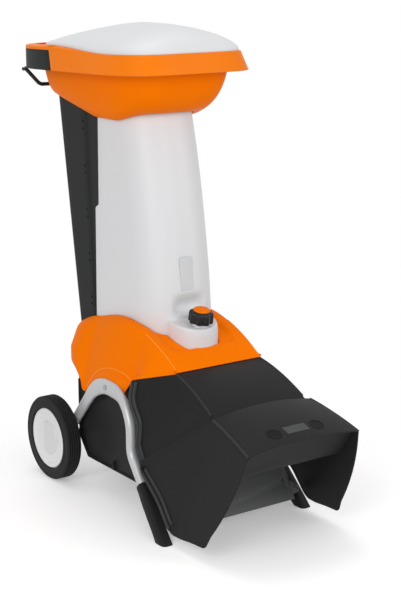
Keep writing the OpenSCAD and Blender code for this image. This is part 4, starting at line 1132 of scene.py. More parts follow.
@dataclass
class FrameTube:
    """One bent tube with its foot sleeve, from the axle over the arch to the ground."""

    side: Side
    tube_d: float = 28
    wall: float = 2
    flat_h: float = 48
    flat_t: float = 14
    rear_bend_r: float = 185
    front_bend_r: float = 103
    knee_r: float = 60
    rear_half_h: float = 17
    rear_half_t: float = 11
    arch_z: float = 366
    arch_rear_y: float = 138
    leg_y: float = -75
    knee_z: float = 205
    foot_y: float = -272
    foot_x: float = 249
    rear_x: float = 185
    foot_w: float = 38
    foot_h: float = 134
    axle_y: float = 372
    axle_z: float = 132
    past_axle: float = 18
    in_sleeve: float = 14
    press_from: float = 12
    press_run: float = 90
    press_end: float = 100
    square: float = 0.8
    flat_square: float = 0.72
    sleeve_square: float = 0.6

    def foot_dir(self) -> Point:
        """Returns the direction of the leg below the knee."""
        return -unit(vec(self.leg_y - self.foot_y, self.knee_z))

    def leg_x(self, y: float) -> float:
        """Returns the tube's distance from the middle."""
        return lerp(self.foot_x, self.rear_x, (y - self.foot_y) / (self.axle_y - self.foot_y))

    def pressed(self, y: float) -> float:
        """Returns how far the tube is pressed flat, 1 on top of the arch."""
        front = ease((y - self.leg_y - self.press_from) / self.press_run)
        return front * ease((self.arch_rear_y + self.press_end - y) / self.press_end)

    def half(self, y: float, rear: float, flat: float) -> float:
        """Returns half the section's size, given what it is at the rear and on top of the arch."""
        plain = lerp(self.tube_d / 2, rear, ease((y - self.arch_rear_y) / self.press_run))
        return lerp(plain, flat / 2, self.pressed(y))

    def half_h(self, y: float) -> float:
        """Returns half the tube's height."""
        return self.half(y, self.rear_half_h, self.flat_h)

    def half_t(self, y: float) -> float:
        """Returns half the tube's thickness."""
        return self.half(y, self.rear_half_t, self.flat_t)

    def path(self) -> Row:
        """Returns the centre line in the leg's plane.

        Returns:
            Points of y and z.
        """
        axle, rear = vec(self.axle_y, self.axle_z), vec(self.arch_rear_y, self.arch_z)
        front, knee = vec(self.leg_y, self.arch_z), vec(self.leg_y, self.knee_z)
        foot = vec(self.foot_y, 0)
        line = [axle + self.past_axle * unit(axle - rear)]
        line += corner(axle, rear, front, self.rear_bend_r, 20)
        line += corner(rear, front, knee, self.front_bend_r, 24)
        line += corner(front, knee, foot, self.knee_r, 14)
        return resampled(line + [foot - self.in_sleeve * self.foot_dir()], 18)

    def top_z(self, y: float) -> float:
        """Returns the height of the arch's upper side.

        Args:
            y: Place along the machine.

        Returns:
            The height there.
        """
        path = [p for p in self.path() if p[0] > self.leg_y + 2]
        outer: Row = []
        for p, q in zip(path, path[1:]):
            d = unit(q - p)
            outer.append(p + vec(-d[1], d[0]) * -self.half_h(float(p[0])))
        outer.reverse()
        return float(np.interp(y, [p[0] for p in outer], [p[1] for p in outer]))

    def ring(self, p: Point, normal: Point, sides: int = 36) -> Row:
        """Returns the section at one point of the centre line.

        Args:
            p: The point.
            normal: Direction across the tube.
            sides: Number of points.

        Returns:
            The ring.
        """
        y = float(p[0])
        square = lerp(self.square, self.flat_square, self.pressed(y))
        x, half_h, half_t = -self.leg_x(y), self.half_h(y), self.half_t(y)
        return [vec(x + half_t * t, *(p + half_h * h * normal)) for h, t in squared(square, sides)]

    def tube(self) -> Form:
        """Returns the left-hand tube.

        Returns:
            The form.
        """
        path = self.path()
        rings: Grid = []
        for i, p in enumerate(path):
            d = unit(path[min(len(path) - 1, i + 1)] - path[max(0, i - 1)])
            rings.append(self.ring(p, vec(-d[1], d[0])))
        return Form().skin(rings, self.wall, ring=True)

    def sleeve(self) -> Form:
        """Returns the left-hand foot sleeve with a rounded collar, cut level with the ground.

        Returns:
            The form.
        """
        along = self.foot_dir()
        foot = vec(self.foot_y, 0)
        length = self.foot_h / -along[1]
        normal = vec(-along[1], along[0])
        half = self.foot_w / 2
        rows: Grid = []
        insets = [(1.0, 4.6), (0.998, 3.0), (0.985, 1.7), (0.95, 1.4), (0.8, 0.9), (0.79, 0.2), (0.6, 0),
                  (0.3, 0), (0.16, 0), (0.0, 0)]
        section = squared(self.sleeve_square, 48)
        for share, inset in insets:
            centre = foot - along * length * share
            x, r = -self.leg_x(float(centre[0])), half - inset
            rows.append([vec(x + r * t, *(centre + r * h * normal)) for h, t in section])
        rows[-1] = [p + vec(0, *along) * (-p[2] / along[1]) for p in rows[-1]]
        return Form().loft(rows)

    def build(self) -> None:
        """Makes the tube and its sleeve."""
        name = self.side.label
        tube = self.tube().on(self.side).object(f"leg_tube_{name}", 0.5)
        settle(tube, Body.BASE, Look.TUBE, f"frame_{name}")
        sleeve = self.sleeve().on(self.side).object(f"foot_sleeve_{name}", 1.4, 60)
        settle(sleeve, Body.BASE, Look.FOOT, f"foot_{name}")


@dataclass
class Wheel:
    """Tyre, rim and hub cap of one wheel."""

    side: Side
    radius: float = 132
    width: float = 50
    span: float = 516
    axle_y: float = 372
    cap_r: float = 94.5
    shoulder: float = 9
    grooves: int = 5
    badge_share: float = 0.54
    badge_cut: float = 0.45

    def turned(self, profile: Profile, segments: int, loop: bool = False) -> Form:
        """Returns the left wheel's form with a profile of radius and distance from the inner face."""
        inner = vec(-self.span / 2 + self.width, self.axle_y, self.radius)
        return Form().lathe(profile, inner, vec(-1, 0, 0), segments, loop)

    def tyre(self) -> Form:
        """Returns the tyre: ribbed tread, round shoulders, stepped side walls.

        Returns:
            The form.
        """
        r, w = self.radius, self.width
        wall = [(96.7, 1.8), (97.5, 1.0), (100.5, 0.8), (101.6, 0.0), (104.6, 0.0), (105.8, 0.7),
                (115.6, 0.5), (116.6, 1.0), (118.4, 1.0), (119.4, 0.3), (123.0, 0.0)]
        arc = corner(vec(96, 0), vec(r, 0), vec(r, w), self.shoulder, 6)
        half = wall + pairs(arc[1:-1])
        groove = [(0, -2.6), (0.5, -1.9), (3.2, -1.1), (3.2, 1.1), (0.5, 1.9), (0, 2.6)]
        middles = spread(self.shoulder, w - self.shoulder, self.grooves)
        tread = [(r - deep, middle + across) for middle in middles for deep, across in groove]
        return self.turned(half + tread + [(a, w - b) for a, b in reversed(half)], 120, loop=True)

    def cap(self) -> Form:
        """Returns the dished hub cap.

        Returns:
            The form.
        """
        w, r = self.width, self.cap_r
        edge = curve(vec(r, w - 4), vec(r - 2, w - 1), vec(r - 9, w - 1), 8)
        profile = [(0.0, w - 10), (r - 6.5, w - 10), (r - 6.5, w - 17), (r - 4.2, w - 17),
                   (r - 4.2, w - 10.8), (r, w - 10.8)]
        profile += pairs(edge) + [(r - 11.5, w - 1.4), (r - 13.5, w - 3.2), (r - 15.5, w - 5.2),
                                  (r - 18, w - 6.0), (60, w - 6.6), (30, w - 7), (0.0, w - 7.2)]
        return self.turned(profile, 96)

    def badge(self) -> Form:
        """Returns the raised round plate on the cap, cut straight on one side and bare.

        Returns:
            The form.
        """
        plate_r, middle = self.cap_r * self.badge_share, 6
        outline = [(plate_r * min(cos(a), self.badge_cut), plate_r * sin(a)) for a in turns(72)]
        steps = [(-3.4, 7.4), (-2.6, 6.2), (-0.6, 3.4), (0.6, 2.3), (2.2, 1.7), (12, 2.0), (30, 2.6)]
        rows: Grid = []
        for inset, depth in steps:
            scale, x = 1 - inset / plate_r, -self.span / 2 + depth
            rows.append([vec(x, self.axle_y + (y + middle) * scale - middle, self.radius + z * scale)
                         for y, z in outline])
        return Form().loft(rows)

    def build(self) -> None:
        """Makes the wheel's pieces."""
        name = self.side.label
        body = Body.WHEEL_LEFT if self.side is Side.LEFT else Body.WHEEL_RIGHT
        tyre, cap, badge = (form.on(self.side) for form in (self.tyre(), self.cap(), self.badge()))
        settle(tyre.object(f"wheel_tyre_{name}"), body, Look.TYRE, f"tyre_{name}")
        settle(cap.object(f"wheel_cap_{name}", 0.5), body, Look.CAP, f"hub_cap_{name}")
        # The plate's darker tone is painted shade that sets it off from the cap.
        settle(badge.object(f"wheel_badge_{name}"), body, Look.BADGE)
        carry(body, Look.CAP, 0.8, f"wheel_rim_{name}")


# Motor hood, base pan and chute


BAND_STEPS, SIDE_STEPS, RIDGE_STEPS, TOP_STEPS = 7, 14, 10, 16
WAIST_COLUMN = BAND_STEPS - 1
CREASE_COLUMN = BAND_STEPS + SIDE_STEPS + RIDGE_STEPS // 2
BAND_GATHER, BAND_RISE, BAND_TURN = 1.7, 0.4, 0.66


def roof_row(low: Point, waist: Point, ridge: Point, crown: Point, soft: float,
             bow: Point, band: float, arched: bool) -> Row:
    """Returns one row of a roof-like shell, from the left lower edge over the middle to the right one.

    Args:
        low: Lower edge.
        waist: Where the side begins.
        ridge: The crease between side and top.
        crown: The middle of the top.
        soft: How far the ridge is rounded.
        bow: How far the side is bowed half way up.
        band: How far the band below the waist stands out, 0 for a plain stretch.
        arched: Whether the top is an even arch instead of two slopes.

    Returns:
        The row's points.
    """
    s, t = lerp(ridge, waist, soft), lerp(ridge, crown, soft)
    half: Row = []
    for k in range(BAND_STEPS):
        u = k / BAND_STEPS if band <= 0 else 1 - (1 - k / BAND_STEPS) ** BAND_GATHER
        p = lerp(low, waist, u)
        if band > 0:
            back = ease((u - BAND_TURN) / (1 - BAND_TURN))
            p[0] = lerp(low[0], waist[0], back) - band * ease(u / BAND_RISE) * (1 - back)
        half.append(p)
    for u in (k / SIDE_STEPS for k in range(SIDE_STEPS)):
        half.append(lerp(waist, s, u) + bow * 4 * u * (1 - u))
    half += curve(s, ridge, t, RIDGE_STEPS)
    for u in (k / TOP_STEPS for k in range(1, TOP_STEPS)):
        arch = (crown[2] - t[2]) * (u - u * u) if arched else 0
        half.append(lerp(t, crown, u) + vec(0, 0, arch))
    return half + [crown] + [flipped(p) for p in reversed(half)]


@dataclass
class MotorHood:
    """Orange hood over the motor: creased front, flared arches, pocket round the nose of the shaft."""

    leg: FrameTube
    shaft: "HopperShaft"
    seam_y: float = -188
    seam_z: float = 461
    seam_w: float = 149
    top_z: float = 561
    rear_y: float = 428
    side_w: float = 192
    ridge_w: float = 148
    wall: float = 4
    peak_y: float = 100
    round_y: float = 272
    side_seam_y: float = -58
    side_seam_z: float = 420
    flare_h: float = 36
    band_h: float = 31
    band_out: float = 5
    band_end: float = 290
    pocket: float = 11
    pocket_w: float = 118
    pocket_y: float = -127
    pocket_r: float = 34
    fall: float = 61
    fall_run: float = 270
    rear_draw: float = 0.93
    rear_p: float = 2.3
    leg_end: float = 225
    leg_gap: float = 0.6
    rise_p: float = 0.8
    join_run: float = 60
    band_fade: float = 40
    waist_share: float = 0.35
    waist_least: float = 12
    soft_front: float = 0.05
    soft_rear: float = 0.36
    side_bow: float = 4
    crown_rise: float = 2

    EDGE = [(-58, 420), (-25, 385), (5, 350), (94, 347), (140, 341), (172, 330), (210, 317),
            (252, 306), (263, 330), (300, 366), (350, 382), (428, 388)]

    def ridge_z(self, y: float) -> float:
        """Returns the height of the crease.

        Args:
            y: Place along the machine.

        Returns:
            The height there.
        """
        if y < self.peak_y:
            t = radians(90 * (y - self.seam_y) / (self.peak_y - self.seam_y))
            return self.seam_z + (self.top_z - self.seam_z) * max(0.0, sin(t)) ** self.rise_p
        return self.top_z - self.fall * ((y - self.peak_y) / self.fall_run) ** 2

    def plan(self, y: float) -> float:
        """Returns how far the sides are drawn in towards the rear face."""
        t = max(0.0, self.rear_draw * (y - self.round_y) / (self.rear_y - self.round_y))
        return (1 - t ** self.rear_p) ** (1 / self.rear_p)

    def flare_w(self, y: float) -> float:
        """Returns the half width of the lower edge."""
        beside = self.leg.leg_x(y) - self.leg.half_t(y) - self.leg_gap
        return max(self.side_w * self.plan(y), beside if y < self.leg_end else 0.0)

    def low(self, y: float) -> Point:
        """Returns the lower edge.

        Args:
            y: Place along the machine.

        Returns:
            The point there.
        """
        if y < self.side_seam_y:
            t = (y - self.seam_y) / (self.side_seam_y - self.seam_y)
            return vec(-lerp(self.seam_w + 1, self.flare_w(self.side_seam_y), t), y,
                       lerp(self.seam_z - 3, self.side_seam_z, t))
        return vec(-self.flare_w(y), y, looked_up(self.EDGE, y))

    def row(self, y: float) -> Row:
        """Returns the section at one place along the machine.

        Args:
            y: The place.

        Returns:
            The row's points.
        """
        low, top = self.low(y), self.ridge_z(y)
        side = min(-low[0], self.side_w * self.plan(y))
        over_leg = ease((self.band_end - y) / self.band_fade)
        arch = max(low[2] + self.waist_least, self.leg.top_z(y) + self.band_h)
        plain = min(low[2] + self.flare_h, lerp(low[2], top, self.waist_share))
        joins = (y - self.side_seam_y) / self.join_run
        waist = vec(-lerp(-low[0], side, ease(joins + 1)), y, lerp(plain, arch, over_leg))
        band = 0.01 + self.band_out * over_leg * ease(joins)
        ridge = vec(-self.ridge_w * self.plan(y) ** self.rise_p, y, top)
        soft = lerp(self.soft_front, self.soft_rear, ease((y - 20) / 220))
        bow = vec(-self.side_bow * ease((y - self.seam_y) / 100) * ease((330 - y) / 120), 0, 0)
        crown = vec(0, y, top + self.crown_rise * ease((y - self.seam_y) / self.join_run))
        return [self.dipped(p) for p in roof_row(low, waist, ridge, crown, soft, bow, band, False)]

    def dipped(self, p: Point) -> Point:
        """Returns the point lowered where the pocket round the nose is.

        Args:
            p: Point of the plain hood.

        Returns:
            The point with the pocket.
        """
        x, y = abs(float(p[0])), float(p[1])
        r = self.pocket_r
        dx, dy = max(0.0, x - self.pocket_w + r), max(0.0, self.pocket_y + r - y)
        depth = self.pocket * ease((r - hypot(dx, dy) + 2) / 14)
        return p if x > 140 or p[2] < self.seam_z else p - vec(0, 0, depth)

    def build(self) -> None:
        """Makes the hood, its openings, the raised edge along its arch and the painted highlight lines
        along its crease and waist.
        """
        places = spread(self.seam_y, self.round_y, 84)
        places += [lerp(self.round_y, self.rear_y, sin(pi / 2 * k / 24)) for k in range(1, 25)]
        shell = Form().skin([self.row(y) for y in places], self.wall, capped=True)
        hood = shell.object("hood_shell", 0.8)
        gap, switch_box = 4, [(-43, 408), (43, 408), (43, 448), (-43, 448)]
        openings = ((self.shaft.outline(504, gap), 454, 600), (self.shaft.nose_outline(gap), 454, 600),
                    (switch_box, 400, 448))
        for outline, low, high in openings:
            cut(hood, Form().loft([[vec(x, y, z) for x, y in outline] for z in (low, high)]))
        settle(hood, Body.BASE, Look.ORANGE, "motor_hood", smooth=28)
        self.build_beads()

    def build_beads(self) -> None:
        """Makes the crease up the front corner and the waist along the arch as lighter beads, which are
        painted highlight lines, and the plain bead along the lower edge, on both sides.
        """
        # The crease and waist beads in the lighter orange are painted highlight lines.
        crease = [self.row(y)[CREASE_COLUMN] for y in spread(self.seam_y + 1, -30, 40)]
        bead_pair("hood_crease", crease, 1.5, Body.BASE, Look.CREST, 12)
        waist = [self.row(y)[WAIST_COLUMN] for y in spread(-34, 232, 70)]
        bead_pair("hood_waist", waist, 1.6, Body.BASE, Look.CREST, 12)
        edge = [self.low(y) + vec(0.5, 0, 0) for y in spread(-52, 216, 60)]
        bead_pair("hood_edge_bead", edge, 2.2, Body.BASE, Look.ORANGE, 12)


@dataclass
class BasePan:
    """Black pan under the motor, the ramp in front of it and the switch box behind."""

    half_w: float = 178

    def ledge(self) -> Row:
        """Returns the line of the ledge along the left side's lower edge."""
        corners = ((301, 330), (300, 150), (252, 93), (-250, 93))
        return resampled([vec(-self.half_w, y, z) for y, z in corners], 30)

    def fin(self) -> Form:
        """Returns the small stiffening fin on the left side."""
        rows = ((1, ((92, 94), (104, 94), (102, 124), (96, 124))),
                (-9, ((93, 94), (103, 94), (101, 118), (97, 118))))
        return Form().loft([[vec(x - self.half_w, y, z) for y, z in row] for x, row in rows])

    def tab(self) -> Form:
        """Returns the small screw tab on the ramp's right edge, with a raised eye.

        Returns:
            The form.
        """
        foot, along = vec(0, -293, 38), unit(vec(0, 143, 238))
        normal = unit(np.cross(vec(1, 0, 0), along))
        outline = [(200.0, 14.0), (222.0, 18.0)]
        arc = spread(-pi / 2, pi / 2, 16)
        outline += [(222 + 9 * cos(a), 31 + 13 * sin(a)) for a in arc]
        outline.append((200.0, 58.0))
        rows = [[foot + vec(x, 0, 0) + along * h + normal * d for x, h in outline] for d in (0.5, 4.5)]
        form = Form().loft(rows)
        eye = [(3, 3.6), (8, 3.6), (8, 6.4), (7, 7.2), (4.4, 7.2), (3, 6.2)]
        return form.lathe(eye, foot + vec(220, 0, 0) + along * 31, normal, 28, loop=True)

    def build(self) -> None:
        """Makes the pan, its ledges and fins, the ramp, the switch box and the small steel pieces."""
        carry(Body.BASE, Look.BLACK, 1.2, "base_pan")
        bead_pair("pan_ledge", self.ledge(), 4.0, Body.BASE, Look.BLACK, 12)
        for side in Side:
            settle(self.fin().on(side).object(f"pan_fin_{side.label}", 0.8), Body.BASE, Look.BLACK)
        carry(Body.BASE, Look.RAMP, 0.9, "front_ramp")
        settle(self.tab().object("ramp_tab", 0.6), Body.BASE, Look.RAMP)
        carry(Body.BASE, Look.KNOB, 1.6, "switch_box")
        carry(Body.START, Look.START, 2.0, "start_button")
        carry(Body.STOP, Look.STOP, 2.0, "stop_button")
        carry(Body.BASE, Look.STEEL, 0.5, "frame_screws", "lock_bracket", "hinge_brackets", "hinge_pins",
              "axle_spacers", "push_nuts", "axle")


@dataclass
class DischargeChute:
    """Black upper chute between hood and flap, with two beads beside the leg."""

    leg: FrameTube
    hood: MotorHood
    break_y: float = -409
    break_z: float = 383
    break_w: float = 172
    front_y: float = -587
    front_z: float = 336
    front_w: float = 192
    crown: float = 16
    wall: float = 4
    step: float = 8
    bulge: float = 12
    under: float = 26
    gap: float = 2
    edge_gap: float = 12
    below_knee: float = 82

    def beside_leg(self, p: Point, normal: Point, reach: float) -> Point:
        """Returns a point beside the leg's centre line."""
        return vec(-self.leg.leg_x(float(p[0])) + 5, p[0] + normal[0] * reach, p[1] + normal[1] * reach)

    def edge(self) -> Row:
        """Returns the points of the side wall's rear edge, from the hood down to the flap's pivot.

        Returns:
            The points.
        """
        leg, hood = self.leg, self.hood
        reach, along = leg.tube_d / 2 + self.edge_gap, leg.foot_dir()
        low = vec(leg.leg_y, leg.knee_z) + along * self.below_knee
        points = [vec(-hood.flare_w(hood.side_seam_y), hood.side_seam_y - self.gap,
                      hood.side_seam_z - self.gap)]
        for z, off in ((358, -36), (300, 0), (255, 0), (222, 0)):
            points.append(self.beside_leg(vec(leg.leg_y, z), vec(-1, 0), reach + off))
        return points + [self.beside_leg(low, vec(along[1], -along[0]), reach + 1)]

    def ridge(self, t: float) -> Point:
        """Returns the crease between side wall and top.

        Args:
            t: Share of the way forward.

        Returns:
            The point there.
        """
        hood, end_y = self.hood, lerp(self.break_y, self.front_y, 0.14) + self.under
        start = vec(-hood.seam_w, hood.seam_y - self.gap, hood.seam_z - self.gap)
        end = vec(-self.break_w + self.step, end_y, self.break_z - self.step - 4)
        return lerp(start, end, t) + vec(0, 0, self.bulge * 4 * t * (1 - t))

    def side_point(self, k: float, reach: float) -> Point:
        """Returns the point of the left side wall at a distance from its rear edge."""
        low = spline(self.edge(), k)
        return low + unit(self.ridge(k / 5) - low) * reach

    def row(self, k: float) -> Row:
        """Returns one row of the chute.

        Args:
            k: Place along the edge.

        Returns:
            The row's points.
        """
        r, low = self.ridge(k / 5), spline(self.edge(), k)
        crown = vec(0, r[1], r[2] + self.crown * 0.6 * k / 5)
        return roof_row(low, lerp(low, r, 0.12), r, crown, 0.05, vec(0, 0, 0), 0, True)

    def tuck(self) -> Form:
        """Returns the flange that tucks under the hood and closes the seam from below.

        Returns:
            The form.
        """
        edge = self.hood.row(self.hood.seam_y)[CREASE_COLUMN - 2:2 - CREASE_COLUMN]
        shifts = (vec(0, -12, -9.5), vec(0, 0, -8), vec(0, 14, -5))
        return Form().skin([[p + shift for p in edge] for shift in shifts], 2)

    def build(self) -> None:
        """Makes the chute and its beads."""
        rows = [self.row(k) for k in spread(5, 0, 46)]
        chute = Form().skin(rows, self.wall).object("chute_shell", 1.0)
        settle(chute, Body.BASE, Look.BLACK, "discharge_chute", smooth=26)
        settle(self.tuck().object("chute_tuck", 0.4), Body.BASE, Look.BLACK)
        # The lighter black bead along the crease is a painted highlight.
        crease = [self.row(k)[CREASE_COLUMN] for k in spread(0.03, 4.3, 50)]
        bead_pair("chute_crease", crease, 3.0, Body.BASE, Look.CREASE, 16)
        # The two beads beside the leg are real; their lighter, glossier black is a painted highlight.
        for label, reach in (("outer", 2.0), ("inner", 15.5)):
            path = [self.side_point(k, reach) for k in spread(0.08, 4.92, 60)]
            bead_pair(f"chute_bead_{label}", path, 6.5, Body.BASE, Look.BEAD, 20)
        carry(Body.BASE, Look.BLACK, 1.0, "flap_pins")


@dataclass
class DischargeFlap:
    """Black flap: crowned visor and side walls, with two round dimples and a bare plate on the visor."""

    chute: DischargeChute
    pivot_y: float = -150
    pivot_z: float = 186
    lip_y: float = -454
    lip_z: float = 44
    lip_w: float = 239
    bow: float = 14
    corner_r: float = 11
    dimple_x: float = 73
    dimple_r: float = 20
    lean: float = 3
    ridge_rise: float = 20
    plate_w: float = 74
    plate_from: float = 0.67
    plate_to: float = 0.83

    def edge(self) -> Row:
        """Returns the points of the side wall's lower edge, from the pivot to the front corner.

        Returns:
            The points.
        """
        x = -self.chute.leg.leg_x(self.pivot_y) + 5 - self.chute.step
        w = self.lip_w
        y, z = self.pivot_y, self.pivot_z
        return [vec(x, y + 16, z + 15), vec(x, y + 9, z - 15), vec(-w - 5, -228, 110),
                vec(-w - 7, -290, 46), vec(-w - 5, -332, 36), vec(-w - 2, -395, self.lip_z - 3),
                vec(-w, self.lip_y, self.lip_z)]

    def ridge(self, t: float) -> Point:
        """Returns the crease between side wall and visor."""
        c = self.chute
        return vec(-lerp(c.break_w, c.front_w, t), lerp(c.break_y, c.front_y, t),
                   lerp(c.break_z, c.front_z, t) + self.ridge_rise * t * (1 - t))

    def row(self, k: float) -> Row:
        """Returns one row of the flap.

        Args:
            k: Place along the edge.

        Returns:
            The row's points.
        """
        t = max(0.0, (k - 1) / 5)
        r = self.ridge(lerp(-0.06, 0, k) if k < 1 else t)
        edge, radius = self.edge(), self.corner_r
        low = lerp(edge[0], edge[1], k) if k < 1 else spline(edge, k)
        away = float(np.linalg.norm(edge[-1] - low))
        if away < radius:
            low = low + unit(r - low) * (radius - sqrt(radius ** 2 - (radius - away) ** 2))
        crown = vec(0, r[1] - self.lean * t, r[2] + self.chute.crown)
        return roof_row(low, lerp(low, r, 0.1), r, crown, 0.06, vec(0, -self.bow * t, 0), 0, True)

    def side_point(self, k: float, reach: float) -> Point:
        """Returns the point of the left side wall at a distance from its lower edge."""
        low = spline(self.edge(), k)
        return low + unit(self.ridge((k - 1) / 5) - low) * reach

    def visor(self, x: float, t: float) -> Point:
        """Returns the point of the visor's outside at a place across and a share of the way forward.

        Args:
            x: Place across.
            t: Share of the way forward.

        Returns:
            The point there.
        """
        r = self.ridge(t)
        side = 1 - abs(x / r[0])
        return vec(x, r[1] - self.lean * t * side, r[2] + self.chute.crown * (2 * side - side * side))

    def visor_normal(self, x: float, t: float) -> Point:
        """Returns the visor's outward direction.

        Args:
            x: Place across.
            t: Share of the way forward.

        Returns:
            The direction.
        """
        across = self.visor(x + 1, t) - self.visor(x - 1, t)
        along = self.visor(x, t - 0.01) - self.visor(x, t + 0.01)
        return unit(np.cross(across, along))

    def plate(self) -> Form:
        """Returns the bare plate that follows the visor.

        Returns:
            The form.
        """
        across = spread(-self.plate_w / 2, self.plate_w / 2, 16)
        along = spread(self.plate_to, self.plate_from, 12)
        rows = [[self.visor(x, t) + self.visor_normal(x, t) * 0.9 for x in across] for t in along]
        return Form().skin(rows, 1.2)

    def baffle(self) -> Form:
        """Returns the inner baffle, whose upper edge follows the underside of the visor.

        Returns:
            The form.
        """
        low_y, low_z, low_w, high_y, high_w, top_t = -508.0, 248.0, 200.9, -573.0, 188.0, 0.925
        foot: Row = []
        head: Row = []
        for u in spread(-1, 1, 41):
            foot.append(vec(u * low_w, low_y, low_z))
            under = self.visor_normal(u * high_w, top_t) * (self.chute.wall + 1.2)
            top = self.visor(u * high_w, top_t) - under
            head.append(vec(top[0], max(top[1], high_y), top[2]))
        rows = [[lerp(a, b, share) for a, b in zip(foot, head)] for share in spread(0, 1, 10)]
        return Form().skin(rows, 3)

    def dimple(self, x: float) -> Form:
        """Returns one round dimple with a rolled edge.

        Args:
            x: Its place across.

        Returns:
            The form.
        """
        t = (self.plate_from + self.plate_to) / 2
        r = self.dimple_r
        profile = [(0, -1.0), (r + 1.5, -1.0), (r + 1.5, 0.3), (r + 0.8, 0.9), (r, 1.0), (r - 1.2, 0.8),
                   (r - 2.4, 0.25), (r * 0.5, 0.1), (0, 0.05)]
        return Form().lathe(profile, self.visor(x, t), self.visor_normal(x, t), 40)

    def build(self) -> None:
        """Makes the flap, its beads, dimples, plate and inner baffle."""
        rows = [self.row(k) for k in spread(6, 5.7, 10) + spread(5.65, 1, 46) + spread(0.8, 0, 4)]
        flap = Form().skin(rows, self.chute.wall).object("flap_shell", 1.0)
        settle(flap, Body.FLAP, Look.BLACK, "discharge_flap", smooth=26)
        # The lighter black bead along the crease is a painted highlight.
        crease = [self.row(k)[CREASE_COLUMN] for k in spread(0.3, 5.95, 54)]
        bead_pair("flap_crease", crease, 3.8, Body.FLAP, Look.CREASE, 16)
        # The two beads on the side wall are real; their lighter, glossier black is a painted highlight.
        for label, reach, radius in (("outer", 6.0, 6.0), ("inner", 25.0, 5.0)):
            path = [self.side_point(k, reach) for k in spread(1.0, 3.05, 40)]
            bead_pair(f"flap_bead_{label}", path, radius, Body.FLAP, Look.BEAD, 20)
        for side in Side:
            dimple = self.dimple(side.value * self.dimple_x).object(f"visor_dimple_{side.label}")
            settle(dimple, Body.FLAP, Look.DIMPLE)
        settle(self.plate().object("visor_plate", 0.4), Body.FLAP, Look.PATCH)
        settle(self.baffle().object("baffle_fine", 0.8), Body.FLAP, Look.BLACK, "flap_baffle")


# Hopper


